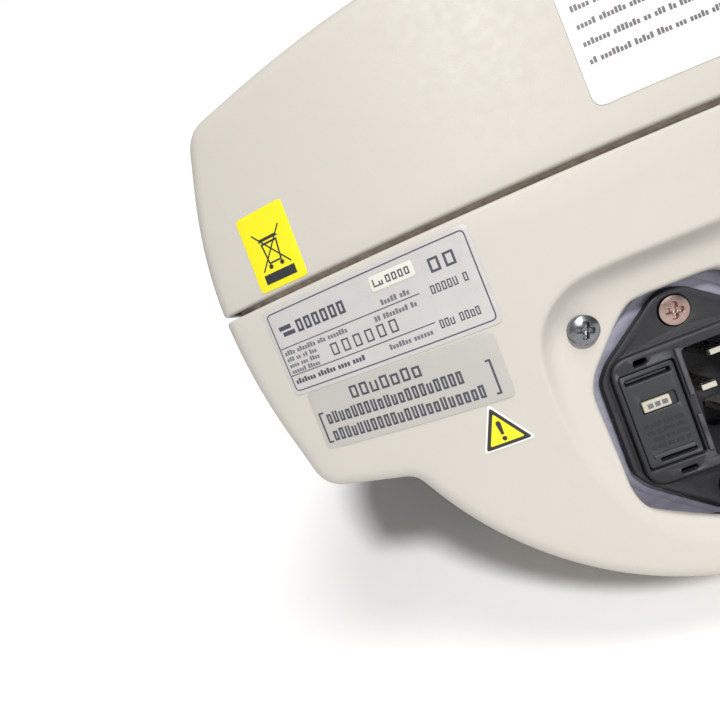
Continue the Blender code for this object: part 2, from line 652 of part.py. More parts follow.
for name, s in (("flange_screw_upper", 1), ("flange_screw_lower", -1)):
    turned(name, [(0, -8.1), (2.6, -8.1), (3.4, -8.4), (1.5, -10.2), (1.5, -16), (0, -16)],
           (0, 0, INLET_Z + s * INLET_SCREW), "y", STEEL, 20)
for name, side in (("cover_screw_left", 1), ("cover_screw_right", -1)):
    turned(name, [(0, -1.6), (2.0, -1.7), (3.2, -2.4), (3.5, -3.1), (3.5, -3.6), (1.5, -3.6), (1.5, -15),
                  (0, -15)], (side * COVER_SCREW_X, 0, COVER_SCREW_Z), "y", STEEL, 20)


# ---------------------------------------------------------------- labels on the rear face
def label(name, centre, size, finish, turn=0.0, cells=4, outline=None):
    """A thin label that follows the rear face: a rectangle, or the three corners of a triangle."""
    bm = bmesh.new()
    if outline:
        bm.faces.new([bm.verts.new(row(x, rear_y(x, z) + 0.4, z)) for x, z in outline])
    else:
        angle = math.radians(turn)
        lines = []
        for i in range(cells + 1):
            line = []
            for j in (-0.5, 0.5):
                u, v = size[0] * (i / cells - 0.5), size[1] * j
                x = centre[0] + u * math.cos(angle) - v * math.sin(angle)
                z = centre[1] + u * math.sin(angle) + v * math.cos(angle)
                line.append(bm.verts.new(row(x, rear_y(x, z) + 0.4, z)))
            lines.append(line)
        for a, b in zip(lines, lines[1:]):
            strip(bm, a, b, closed=False)
    bmesh.ops.recalc_face_normals(bm, faces=bm.faces)
    if sum(f.normal.y for f in bm.faces) < 0:
        bmesh.ops.reverse_faces(bm, faces=bm.faces)
    made = walled(name, bm, finish)
    made.modifiers["wall"].thickness = 0.25 * MM
    return made


nameplate = label("nameplate", (58.9, -13.0), (49.5, 21.5), SILVER_LABEL)
fuse_label = label("fuse_label", (58.9, -31.3), (43.7, 14.4), SILVER_LABEL, 0.7)
side_label = label("side_label", (74.7, 10.6), (12.6, 18.1), YELLOW, 1.5, 2)
round_label = label("round_label", (-12.0, 19.0), (34.0, 23.0), WHITE)
caution_label = label("caution_label", None, None, YELLOW,
                      outline=[(43.2, -39.4), (37.2, -47.7), (46.9, -48.3)])

# ---------------------------------------------------------------- lamp house
lamp_house = box("lamp_house", (-30, -57, -12), (30, -15, 40), CHASSIS)
cut(lamp_house, box("lamp_space", (-28.8, -55.8, -10.8), (28.8, -16.2, 50), None, collection=cutters),
    rod("beam_port", 13, -60, -50, (0, 0, OPTIC_Z), "y", None, 24, collection=cutters),
    rod("air_ports", 15, -40, 40, (0, -42, 8), "x", None, 20, collection=cutters))
lamp_socket = box("lamp_socket", (-8, -42, -10.5), (8, -30, -2), CERAMIC, 0.8)
lamp_bulb = turned("lamp_bulb", [(0, 21), (2, 20.2), (4, 18), (5, 14), (5, 4), (3.5, 1), (3.5, -1.7), (0, -1.7)],
                   (0, -36, 0), "z", GLASS, 20)
reflector = turned("reflector", [(0, -18.6), (8.4, -20), (13.2, -23.2), (16.5, -27.8), (15.5, -28.5),
                                 (12.5, -24.2), (8, -21.2), (0, -19.8)], (0, 0, OPTIC_Z), "y", MIRROR, 28)
heat_filter = box("heat_filter", (-14, -46.5, OPTIC_Z - 14), (14, -44.5, OPTIC_Z + 14), GLASS)
condenser_lens = turned("condenser_lens", [(0, -47.6), (7, -48.3), (11.5, -50), (12.7, -51), (12.7, -52),
                                           (11.5, -53), (7, -54.7), (0, -55.4)],
                        (0, 0, OPTIC_Z), "y", GLASS, 24)

# ---------------------------------------------------------------- fan beside the lamp house
FAN_Y, FAN_Z = -42.0, 8.0
fan_housing = box("fan_housing", (50, FAN_Y - 25, FAN_Z - 25), (62, FAN_Y + 25, FAN_Z + 25), BLACK)
cut(fan_housing, rod("fan_bore", 23.2, 40, 70, (0, FAN_Y, FAN_Z), "x", None, 32, collection=cutters))
struts = [box("strut", (50, FAN_Y - 24, FAN_Z - 1.5), (51.6, FAN_Y + 24, FAN_Z + 1.5), None, collection=cutters),
          box("strut", (50, FAN_Y - 1.5, FAN_Z - 24), (51.6, FAN_Y + 1.5, FAN_Z + 24), None, collection=cutters),
          rod("fan_motor_plate", 9, 50, 52.4, (0, FAN_Y, FAN_Z), "x", None, 20, collection=cutters)]
join(fan_housing, *struts)
fan_rotor = rod("fan_rotor", 9, 52.8, 60.5, (0, FAN_Y, FAN_Z), "x", BLACK, 20)
for i in range(5):
    blade = box("blade", (56.1, FAN_Y - 4.5, FAN_Z + 7.5), (57.3, FAN_Y + 4.5, FAN_Z + 22), None,
                collection=cutters)
    blade.data.transform(Matrix.Translation(-row(56.7, FAN_Y, FAN_Z)))
    blade.data.transform(Matrix.Rotation(2 * math.pi * i / 5, 4, "X") @ Matrix.Rotation(math.radians(40), 4, "Z"))
    blade.data.transform(Matrix.Translation(row(56.7, FAN_Y, FAN_Z)))
    join(fan_rotor, blade)
set_origin(fan_rotor, 56.7, FAN_Y, FAN_Z)


# ---------------------------------------------------------------- chart disc, mask disc and their drives
def gear(teeth, centre, first_tooth):
    """A gear's outline in (x, z), with one tooth's middle at the angle first_tooth (degrees)."""
    pitch_r = GEAR_MODULE * teeth / 2
    root, tip = pitch_r - 1.15 * GEAR_MODULE, pitch_r + 0.85 * GEAR_MODULE
    points = []
    for i in range(teeth):
        for radius, share in ((root, -0.29), (tip, -0.11), (tip, 0.11), (root, 0.29)):
            angle = math.radians(first_tooth) + 2 * math.pi * (i + share) / teeth
            points.append((centre[0] + radius * math.cos(angle), centre[1] + radius * math.sin(angle)))
    return points


def beside(centre, teeth, pinion_teeth, angle):
    """Where a pinion's axle stands, at an angle round a gear's axle."""
    distance = GEAR_MODULE * (teeth + pinion_teeth) / 2 + 0.15
    return (centre[0] + distance * math.cos(math.radians(angle)),
            centre[1] + distance * math.sin(math.radians(angle)))


chart_pinion_at = beside(CHART_CENTRE, CHART_TEETH, CHART_PINION_TEETH, CHART_PINION_ANGLE)
mask_pinion_at = beside(MASK_CENTRE, MASK_TEETH, MASK_PINION_TEETH, MASK_PINION_ANGLE)
CHART_R = OPTIC_Z - CHART_CENTRE[1]
MASK_R = math.hypot(MASK_CENTRE[0], OPTIC_Z - MASK_CENTRE[1])
MASK_AIM = math.atan2(OPTIC_Z - MASK_CENTRE[1], -MASK_CENTRE[0])


def windows(count, radius, centre, size, first, sides=8):
    """Round picture windows spread on a circle."""
    spread = [first + 2 * math.pi * i / count for i in range(count)]
    return [circle(size, sides, (centre[0] + radius * math.cos(t), centre[1] + radius * math.sin(t)))
            for t in spread]


chart_disc = flat("chart_disc", [gear(CHART_TEETH, CHART_CENTRE, CHART_PINION_ANGLE),
                                 circle(3.3, 20, CHART_CENTRE),
                                 *windows(16, CHART_R, CHART_CENTRE, 4.2, math.pi / 2)],
                  -72.0, -70.0, "y", BLACK)
for start, end in ((-70.5, -67.5), (-75.5, -71.5)):
    join(chart_disc, rod("hub", 8, start, end, (CHART_CENTRE[0], 0, CHART_CENTRE[1]), "y", None, 24,
                         inner=3.3, collection=cutters))
set_origin(chart_disc, CHART_CENTRE[0], -71, CHART_CENTRE[1])
mask_disc = flat("mask_disc", [gear(MASK_TEETH, MASK_CENTRE, MASK_PINION_ANGLE), circle(2.4, 16, MASK_CENTRE),
                               *windows(8, MASK_R, MASK_CENTRE, 2.8, MASK_AIM, 10)],
                 -80.0, -78.5, "y", BLACK)
set_origin(mask_disc, MASK_CENTRE[0], -79, MASK_CENTRE[1])


def pinion(name, teeth, at, faces, shaft, first_tooth):
    made = flat(name, [gear(teeth, at, first_tooth)], *faces, "y", BRASS)
    join(made, rod("shaft", shaft, -87.0, faces[0] + 0.5, (at[0], 0, at[1]), "y", None, 12, collection=cutters))
    set_origin(made, at[0], sum(faces) / 2, at[1])
    return made


chart_pinion = pinion("chart_pinion", CHART_PINION_TEETH, chart_pinion_at, (-73.0, -69.0), 2.0,
                      CHART_PINION_ANGLE + 180 + 180 / CHART_PINION_TEETH)
mask_pinion = pinion("mask_pinion", MASK_PINION_TEETH, mask_pinion_at, (-80.8, -77.7), 1.5,
                     MASK_PINION_ANGLE + 180 + 180 / MASK_PINION_TEETH)

frame_outline = [(-62, -45), (62, -45), (62, -24), (77, -24), (77, 34), (-70, 34), (-70, -24), (-62, -24)]
optics_frame = flat("optics_frame", [frame_outline, circle(12, 24, (0, OPTIC_Z)), circle(2.6, 12, chart_pinion_at),
                                     circle(2.1, 12, mask_pinion_at)], *DISC_PLATE_Y, "y", CHASSIS)
for at, radius, head, tip in ((CHART_CENTRE, 3.0, 5.0, -65.4), (MASK_CENTRE, 2.0, 3.4, -77.0)):
    axle = turned("axle", [(0, tip), (head, tip), (head, tip - 1.4), (radius, tip - 1.4), (radius, -85), (0, -85)],
                  (at[0], 0, at[1]), "y", None, 16, cutters)
    join(optics_frame, axle)
chart_motor = rod("chart_motor", 13.5, -106, -87.4, (chart_pinion_at[0], 0, chart_pinion_at[1]), "y", STEEL, 24)
mask_motor = rod("mask_motor", 11, -103, -87.4, (mask_pinion_at[0], 0, mask_pinion_at[1]), "y", STEEL, 24)
for motor, at, flange_r in ((chart_motor, chart_pinion_at, 5.0), (mask_motor, mask_pinion_at, 4.0)):
    join(motor, rod("motor_nose", flange_r, -88, -86.3, (at[0], 0, at[1]), "y", None, 16, inner=2.9,
                    collection=cutters))

# ---------------------------------------------------------------- transformer and board
transformer_core = box("transformer_core", (-28, -148, -45.0), (28, -124, -1), STEEL)
cut(transformer_core, box("window_left", (9.5, -160, -38), (19, -110, -8), None, collection=cutters),
    box("window_right", (-19, -160, -38), (-9.5, -110, -8), None, collection=cutters))
transformer_coil = box("transformer_coil", (-18.7, -155, -37.7), (18.7, -117, -8.3), COPPER, 2.0)
cut(transformer_coil, box("core_leg", (-9.8, -148.3, -50), (9.8, -123.7, 0), None, collection=cutters))
main_board = box("main_board", (14, -243, -42), (62, -184, -40.4), BOARD)

# ---------------------------------------------------------------- projection lens
lens_mount = rod("lens_mount", 24, -250, -198, (0, 0, OPTIC_Z), "y", CHASSIS, 36, inner=20.7)
join(lens_mount, box("lens_pedestal", (-9, -240, -45.0), (9, -204, -9.5), None, collection=cutters))
lens_barrel = rod("lens_barrel", 20.2, -280, -206, (0, 0, OPTIC_Z), "y", BLACK, 36, inner=17.2)
set_origin(lens_barrel, 0, -243, OPTIC_Z)
for name, middle in (("front_lens", -271.0), ("rear_lens", -214.0)):
    turned(name, [(0, middle + 4.5), (9, middle + 3.6), (16.8, middle + 1.4), (16.8, middle - 1.4),
                  (9, middle - 3.6), (0, middle - 4.5)], (0, 0, OPTIC_Z), "y", GLASS, 28)
ribs = 32
knurl = []
for i in range(ribs):
    for radius, share in ((24.0, 0.0), (24.8, 0.2), (24.8, 0.6), (24.0, 0.8)):
        angle = 2 * math.pi * (i + share) / ribs
        knurl.append((radius * math.cos(angle), OPTIC_Z + radius * math.sin(angle)))
focus_ring = flat("focus_ring", [knurl, circle(20.7, 36, (0, OPTIC_Z))], -288.8, -256.5, "y", DARK)
set_origin(focus_ring, 0, -272, OPTIC_Z)

# ---------------------------------------------------------------- power switch on the right side
def wall_x(y):
    return -(HALF_WIDTH - SIDE_CURVE_DOWN * SWITCH_Z ** 2) * width_scale(y)


switch_place = bpy.data.objects.new("switch_place", None)
parts.objects.link(switch_place)
switch_place.location = row(wall_x(SWITCH_Y), SWITCH_Y, SWITCH_Z)
lean = -2 * SIDE_CURVE_DOWN * abs(SWITCH_Z)
toe_in = math.atan(wall_x(SWITCH_Y - 0.5) - wall_x(SWITCH_Y + 0.5))
switch_place.rotation_euler = (0, lean, toe_in)


def on_wall(made, x=0.0):
    """Seats a piece, made about the frame's origin, on the sloping side wall, with its own origin at x."""
    made.data.transform(Matrix.Translation(-row(x, 0, 0)))
    made.location.x = x * MM
    made.parent = switch_place


switch_bezel = box("switch_bezel", (-2.3, -11, -8.5), (-0.8, 11, 8.5), BLACK, 0.5)
switch_body = box("switch_body", (-1.5, -8.7, -6.2), (14, 8.7, 6.2), None, collection=cutters)
rocker_space = box("rocker_space", (-5, -7.2, -5.0), (10, 7.2, 5.0), None, collection=cutters)
join(switch_bezel, switch_body)
cut(switch_bezel, rocker_space)
rocker_side = [(-0.4, -5.8), (-3.8, -5.8), (-2.3, 0), (-1.4, 5.8), (-0.4, 5.8), (6, 0)]
power_rocker = flat("power_rocker", [rocker_side], -4.6, 4.6, "z", BLACK)
on_wall(power_rocker, ROCKER_PIVOT)
for made in (switch_bezel, switch_body, rocker_space):
    on_wall(made)
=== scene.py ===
"""The looks of the auto chart projector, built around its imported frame.

The body frame has its origin on the rear face, on the seam: x to the projector's left, y to the rear and
z up, in millimetres. row() moves a point of it to the model's frame in metres."""

import json
import math
import random

import bmesh
import bpy
import numpy as np
from mathutils import Matrix, Vector
from mathutils.geometry import delaunay_2d_cdt


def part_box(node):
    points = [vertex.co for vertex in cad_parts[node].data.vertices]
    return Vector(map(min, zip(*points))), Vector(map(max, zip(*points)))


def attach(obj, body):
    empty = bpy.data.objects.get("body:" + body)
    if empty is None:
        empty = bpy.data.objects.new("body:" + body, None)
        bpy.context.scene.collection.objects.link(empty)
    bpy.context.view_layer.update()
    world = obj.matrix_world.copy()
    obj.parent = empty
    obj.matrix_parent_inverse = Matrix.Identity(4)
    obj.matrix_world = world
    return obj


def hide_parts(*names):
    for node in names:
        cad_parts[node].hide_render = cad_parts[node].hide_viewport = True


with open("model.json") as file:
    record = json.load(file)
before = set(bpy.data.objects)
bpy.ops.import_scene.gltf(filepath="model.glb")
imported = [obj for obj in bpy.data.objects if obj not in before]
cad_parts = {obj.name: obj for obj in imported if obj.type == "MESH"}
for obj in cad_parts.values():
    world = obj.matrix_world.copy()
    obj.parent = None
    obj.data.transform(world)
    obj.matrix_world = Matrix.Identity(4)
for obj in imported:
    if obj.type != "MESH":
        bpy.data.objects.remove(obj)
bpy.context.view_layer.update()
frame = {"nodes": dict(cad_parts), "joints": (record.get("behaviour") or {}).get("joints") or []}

# ---------------------------------------------------------------- the body frame and its driving dimensions
MM = 0.001
PIVOT_Y, PIVOT_Z = -160.0, -70.0
joints = {j["name"]: j for j in frame["joints"]}
SEAM = (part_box("lower_shell")[1].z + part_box("upper_cover")[0].z) / 2
REAR = joints["tilt"]["pos_m"][1] - PIVOT_Y * MM
ORIGIN = Vector((0.0, REAR, SEAM))

SEAM_GAP = 0.7
WALL = 2.6
FRONT_EDGE = -256.0
HALF_WIDTH, SIDE_CURVE_UP, SIDE_CURVE_DOWN = 94.8, 0.0057, 0.0042
TOP_HEIGHT, TOP_CROWN = 49.4, 0.00068
SHOULDER_Z, BELLY_Z, BELLY_R = -50.2, -17.6, 71.0
BELLY_END = (-78.0, -90.0)
REAR_RADIUS, LEAN_UP, LEAN_DOWN, EDGE_R = 183.6, 0.056, 0.035, 3.5
OPTIC_Z = 13.0
DOOR_HALF, DOOR_FRONT, DOOR_REAR = 36.0, -80.0, -22.0
SWITCH_Y, SWITCH_Z = -215.0, -22.0
SLOT_COUNT, SLOT_Y, SLOT_PITCH, SLOT_WIDE = 5, -66.0, 8.0, 3.0
INLET_Z, INLET_SCREW, FLANGE_Y = -55.3, 20.0, -8.2
COVER_SCREW = (20.1, -31.3)
SEAM_ROUND = 0.8             # rounding of the covers' edges along the seam
SLOT_ROUND = 0.5

WELL = [(0, -20), (12, -20), (20, -20.6), (26, -24), (29.8, -29.5), (31, -37), (31, -47), (30.2, -56),
        (28, -63), (25.6, -69), (19, -77), (9, -80.5), (0, -81)]
CUTOUT = [(0, -29.3), (6, -29.3), (9.5, -29.6), (13, -32.4), (17, -36.6), (21, -40.8), (22.7, -44.5),
          (22.7, -55), (22.7, -65), (21.4, -69.2), (16, -72.4), (8, -75.8), (0, -77.6)]


def row(x, y, z):
    return ORIGIN + Vector((x, y, z)) * MM


def smooth(t):
    t = min(1.0, max(0.0, t))
    return t * t * (3 - 2 * t)


def width_scale(y):
    return 1 + 0.03 * smooth((-24 - y) / 80) - 0.11 * smooth((-140 - y) / 130)


def top_scale(y):
    return 1 - 0.07 * smooth((-95 - y) / 180)


def belly_share(y):
    t = (BELLY_END[0] - y) / (BELLY_END[0] - BELLY_END[1])
    return math.sqrt(max(0.0, 1 - min(1.0, max(0.0, t)) ** 2))


def rear_y(x, z):
    """The rear face, for numbers or for arrays."""
    return -x * x / (2 * REAR_RADIUS) - np.where(z > 0, LEAN_UP, LEAN_DOWN) * z


def recess_y(z):
    """The floor of the recess round the inlet."""
    return -4.2 - 0.125 * (z + 31)


def bezel_y(x, z):
    return -284.0 + x * x / 420 + z * z / 500


# ---------------------------------------------------------------- outlines
def curve(a, at, b, steps):
    """A bend from a to b that heads for at."""
    shares = [k / steps for k in range(steps + 1)]
    return [tuple(a * (1 - t) ** 2 + at * 2 * t * (1 - t) + b * t * t) for t in shares]


def softened(points, corner, reach, steps):
    """An open line with one corner replaced by a smooth bend."""
    before, at, after = (Vector(points[i]) for i in (corner - 1, corner, corner + 1))
    a = at + (before - at).normalized() * reach
    b = at + (after - at).normalized() * reach
    return points[:corner] + curve(a, at, b, steps) + points[corner + 1:]


def rounded(loop, reach, steps=6):
    """A loop with each corner replaced by a smooth bend."""
    made = []
    for i, at in enumerate(loop):
        at = Vector(at)
        before, after = Vector(loop[i - 1]), Vector(loop[(i + 1) % len(loop)])
        r = min(reach, 0.48 * (before - at).length, 0.48 * (after - at).length)
        a, b = at + (before - at).normalized() * r, at + (after - at).normalized() * r
        made += curve(a, at, b, steps)
    return made


def resample(points, spacing, closed=False):
    """Even steps along a line or a loop, keeping its ends."""
    line = [Vector(p) for p in points]
    if closed:
        line.append(line[0])
    lengths = [0.0]
    for a, b in zip(line, line[1:]):
        lengths.append(lengths[-1] + (b - a).length)
    count = max(2, round(lengths[-1] / spacing))
    made, k = [], 0
    for i in range(count + (0 if closed else 1)):
        at = lengths[-1] * i / count
        while k < len(line) - 2 and lengths[k + 1] < at:
            k += 1
        span = lengths[k + 1] - lengths[k]
        made.append(tuple(line[k].lerp(line[k + 1], (at - lengths[k]) / span if span else 0.0)))
    return made


def dense(loop, spacing):
    """A closed loop with its long edges divided, so that it can follow a curved face."""
    made = []
    for a, b in zip(loop, loop[1:] + loop[:1]):
        count = max(1, math.ceil(math.dist(a, b) / spacing))
        made += [(a[0] + (b[0] - a[0]) * i / count, a[1] + (b[1] - a[1]) * i / count) for i in range(count)]
    return made


def mirror_loop(half):
    return half + [(-x, z) for x, z in reversed(half[1:-1])]


def mirrored(half):
    return half + [(-x, z) for x, z in reversed(half[:-1])]


def circle(radius, count=48, centre=(0.0, 0.0)):
    return [(centre[0] + radius * math.cos(2 * math.pi * i / count),
             centre[1] + radius * math.sin(2 * math.pi * i / count)) for i in range(count)]


def block(x0, z0, x1, z1, r=0.0, steps=5):
    loop = [(x0, z0), (x1, z0), (x1, z1), (x0, z1)]
    return rounded(loop, r, steps) if r else loop


def turned_about(loop, centre, degrees):
    c, s = math.cos(math.radians(degrees)), math.sin(math.radians(degrees))
    return [(centre[0] + x * c - z * s, centre[1] + x * s + z * c) for x, z in loop]


def lower_half(y, belly):
    """Right half of the lower cover's section, from the seam to the middle of the belly."""
    wide = width_scale(y)
    side = [(HALF_WIDTH - SIDE_CURVE_DOWN * z * z, z) for z in (-13.0, -26.0, -37.0)]
    start = math.atan2(SHOULDER_Z - BELLY_Z, 63.3)
    arc = []
    for i in range(2, 31):
        angle = start + (-math.pi / 2 - start) * i / 30
        x, z = BELLY_R * math.cos(angle), BELLY_Z + BELLY_R * math.sin(angle)
        arc.append((x, SHOULDER_Z + (z - SHOULDER_Z) * belly))
    points = side[-1:] + [(86.2, -47.9), (74.0, -49.1), (63.3, SHOULDER_Z)] + arc
    points = softened(points, 3, 2.4, 5)
    points = softened(points, 1, 5.5, 8)
    return [(x * wide, z) for x, z in points]


def upper_half(y):
    wide, high = width_scale(y), top_scale(y)
    side = [(HALF_WIDTH - SIDE_CURVE_UP * 33 ** 2, 33.0)]
    top = [(70.0, TOP_HEIGHT - TOP_CROWN * 4900)]
    points = softened(side + [(84.2, 44.9)] + top, 1, 5.0, 8)
    return [(x * wide, SEAM_GAP + (z - SEAM_GAP) * high) for x, z in points]


def inset(points, distance, up):
    """Moves an open section line towards the body's inside, keeping its ends on their own height."""
    moved = []
    for i, (x, z) in enumerate(points):
        before, after = points[max(0, i - 1)], points[min(len(points) - 1, i + 1)]
        along = Vector((after[0] - before[0], after[1] - before[1])).normalized()
        inward = Vector((along.y, -along.x)) * (-1 if up else 1)
        if i in (0, len(points) - 1):
            inward = Vector((math.copysign(1, -x), 0))
        moved.append((x + inward.x * distance, z + inward.y * distance))
    return moved


# ---------------------------------------------------------------- mesh building
def inside(points, loop):
    """Which points lie inside a loop."""
    x, z = points[:, 0], points[:, 1]
    hits = np.zeros(len(points), bool)
    for (x0, z0), (x1, z1) in zip(loop, loop[1:] + loop[:1]):
        if z0 != z1:
            crosses = (z0 > z) != (z1 > z)
            hits ^= crosses & (x < (x1 - x0) * (z - z0) / (z1 - z0) + x0)
    return hits


def distance_to(points, loop):
    """Distance from each point to an anticlockwise loop's edges, and the nearest edge's outward normal."""
    a = np.array(loop, float)
    b = np.roll(a, -1, axis=0)
    best = np.full(len(points), 1e9)
    normal = np.zeros((len(points), 2))
    for p, q in zip(a, b):
        way = q - p
        share = np.clip(((points - p) @ way) / (way @ way), 0, 1)
        gap = points - (p + share[:, None] * way)
        far = np.hypot(gap[:, 0], gap[:, 1])
        nearer = far < best
        best[nearer] = far[nearer]
        out = np.array((way[1], -way[0])) / math.hypot(*way)
        normal[nearer] = out
    return best, normal


def lattice(loops, spacing, clear):
    """Points in a triangular pattern inside the first loop, outside the others and clear of all."""
    outer = np.array(loops[0])
    low, high = outer.min(0), outer.max(0)
    points, k = [], 0
    v = low[1]
    while v < high[1]:
        shift = spacing / 2 * (k % 2)
        points += [(u, v) for u in np.arange(low[0] + shift, high[0], spacing)]
        v += spacing * 0.866
        k += 1
    points = np.array(points)
    keep = inside(points, loops[0])
    for loop in loops[1:]:
        keep &= ~inside(points, loop)
    points = points[keep]
    for loop in loops:
        points = points[distance_to(points, loop)[0] > clear]
    return [tuple(p) for p in points]


class Sheet:
    """An open surface gathered from patches and strips, then given lips along its edges."""

    def __init__(self):
        self.bm = bmesh.new()

    def strip(self, lines, closed=False):
        """Faces through lines of points of equal length."""
        rows = [[self.bm.verts.new(p) for p in line] for line in lines]
        for a, b in zip(rows, rows[1:]):
            count = len(a)
            for i in range(count if closed else count - 1):
                j = (i + 1) % count
                self.bm.faces.new((a[i], a[j], b[j], b[i]))
        return self

    def patch(self, loops, extra, lift=None, field=None):
        """Triangles inside the first loop and outside the others, put in place by lift(u, v), or by a field
        that gives y at an array of (x, z)."""
        points, edges = [], []
        for loop in loops:
            start, count = len(points), len(loop)
            points += loop
            edges += [(start + i, start + (i + 1) % count) for i in range(count)]
        points += extra
        flat, _, faces, *_ = delaunay_2d_cdt([Vector(p) for p in points], edges, [], 0, 1e-5)
        at = np.array([tuple(p) for p in flat])
        faces = np.array([f for f in faces if len(f) == 3])
        middle = at[faces].mean(1)
        keep = inside(middle, loops[0])
        for loop in loops[1:]:
            keep &= ~inside(middle, loop)
        if field:
            depth = field(at)
            verts = [self.bm.verts.new(row(u, y, v)) for (u, v), y in zip(at, depth)]
        else:
            verts = [self.bm.verts.new(lift(u, v)) for u, v in at]
        for f in faces[keep]:
            self.bm.faces.new([verts[i] for i in f])
        bmesh.ops.delete(self.bm, geom=[v for v in verts if not v.link_faces], context="VERTS")
        return self

    def fill(self, loops, spacing, clear, lift=None, field=None):
        """A patch with a lattice of inner points."""
        return self.patch(loops, lattice(loops, spacing, clear), lift, field)

    def face_rear(self):
        """Turns the faces that look forwards."""
        for face in self.bm.faces:
            if face.normal.y < 0:
                face.normal_flip()

    def stack(self, levels):
        """Faces through closed (x, z) loops, each at its own y."""
        return self.strip([[row(x, y, z) for x, z in loop] for loop, y in levels], closed=True)

    def weld(self, outward):
        """Joins the patches, and turns the faces so that outward(face centre) agrees with their normals."""
        bmesh.ops.remove_doubles(self.bm, verts=self.bm.verts, dist=0.04 * MM)
        bmesh.ops.recalc_face_normals(self.bm, faces=self.bm.faces)
        total = sum(f.normal.dot(outward(f.calc_center_median())) * f.calc_area() for f in self.bm.faces)
        if total < 0:
            bmesh.ops.reverse_faces(self.bm, faces=self.bm.faces)
        return self

    def lip(self, radius, depth, where=None, steps=4):
        """Rounds the open edges that where(middle) picks, over to a wall that runs depth inward."""
        bm = self.bm
        bm.normal_update()
        edges, ends = [], {}
        for e in bm.edges:
            if not e.is_boundary or (where and not where(*body((e.verts[0].co + e.verts[1].co) / 2))):
                continue
            loop = e.link_loops[0]
            a, b = loop.vert, loop.link_loop_next.vert
            normal = e.link_faces[0].normal.copy()
            out = (b.co - a.co).cross(normal).normalized()
            edges.append((a, b))
            for v in (a, b):
                ends.setdefault(v, []).append((out, normal))
        way = {}
        for v, found in ends.items():
            up = sum((n for _, n in found), Vector()).normalized()
            out = sum((o for o, _ in found), Vector())
            out = (out - up * out.dot(up)).normalized()
            way[v] = (v.co.copy(), out / max(0.5, out.dot(found[0][0])), up)
        stages = [(math.sin(math.pi / 2 * k / steps), 1 - math.cos(math.pi / 2 * k / steps))
                  for k in range(1, steps + 1)]
        if depth > radius:
            stages.append((1.0, depth / radius))
        last = {v: v for v in way}
        for across, down in stages:
            ring = {v: bm.verts.new(at + (out * across - up * down) * radius * MM)
                    for v, (at, out, up) in way.items()}
            for a, b in edges:
                bm.faces.new((last[b], last[a], ring[a], ring[b]))
            last = ring
        return self

    def back(self):
        """Closes what is still open with one inner face."""
        edges = [e for e in self.bm.edges if e.is_boundary]
        bmesh.ops.triangle_fill(self.bm, use_beauty=True, use_dissolve=False, edges=edges)
        bmesh.ops.recalc_face_normals(self.bm, faces=self.bm.faces)
        return self

    def object(self, name, rides, finish, slot, replaces=(), sharp=40):
        mesh = bpy.data.meshes.new(name)
        self.bm.to_mesh(mesh)
        self.bm.free()
        return place(name, mesh, rides, finish, replaces, sharp)


def body(point):
    return tuple((point - ORIGIN) / MM)


def place(name, mesh, rides, finish, replaces=(), sharp=40):
    mesh.shade_smooth()
    mesh.set_sharp_from_angle(angle=math.radians(sharp))
    mesh.materials.append(finish)
    made = bpy.data.objects.new(name, mesh)
    bpy.context.scene.collection.objects.link(made)
    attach(made, rides)
    if replaces:
        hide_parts(*replaces)
    return made


AXES = {  # (radial, radial, along) laid on the body frame
    "x": lambda u, v, h: (h, u, v),
    "y": lambda u, v, h: (v, h, u),
    "z": lambda u, v, h: (u, v, h),
}


def lathe(profile, centre, axis, steps=64, ribs=None):
    """A turned sheet from (radius, along) points. ribs = (count, depth, first point, last point) cuts
    flutes."""
    made = Sheet()
    lines = []
    for i, (r, h) in enumerate(profile):
        line = []
        for k in range(steps):
            angle = 2 * math.pi * k / steps
            radius = r
            if ribs and ribs[2] <= i <= ribs[3]:
                wave = 0.5 - 0.5 * math.cos(angle * ribs[0])
                radius -= ribs[1] * wave ** 2
            u, v, w = AXES[axis](radius * math.cos(angle), radius * math.sin(angle), h)
            line.append(row(centre[0] + u, centre[1] + v, centre[2] + w))
        lines.append(line)
    made.strip(lines, closed=True)
    bmesh.ops.remove_doubles(made.bm, verts=made.bm.verts, dist=0.002 * MM)
    bmesh.ops.recalc_face_normals(made.bm, faces=made.bm.faces)
    return made


def facing_loop(loop):
    """The loop run anticlockwise."""
    area = sum(a[0] * b[1] - b[0] * a[1] for a, b in zip(loop, loop[1:] + loop[:1]))
    return loop if area > 0 else list(reversed(loop))


def grown(loop, distance):
    """A loop moved outward along its normals."""
    loop = facing_loop(loop)
    made = []
    for i, at in enumerate(loop):
        a, b = Vector(loop[i - 1]), Vector(loop[(i + 1) % len(loop)])
        at = Vector(at)
        p, q = (at - a).normalized(), (b - at).normalized()
        out = Vector((p.y + q.y, -p.x - q.x)).normalized()
        share = max(0.35, out.dot(Vector((p.y, -p.x))))
        made.append(tuple(at + out * distance / share))
    return made


# ---------------------------------------------------------------- materials
def srgb(r, g, b):
    return tuple((c / 255 / 12.92) if c <= 10 else ((c / 255 + 0.055) / 1.055) ** 2.4 for c in (r, g, b))


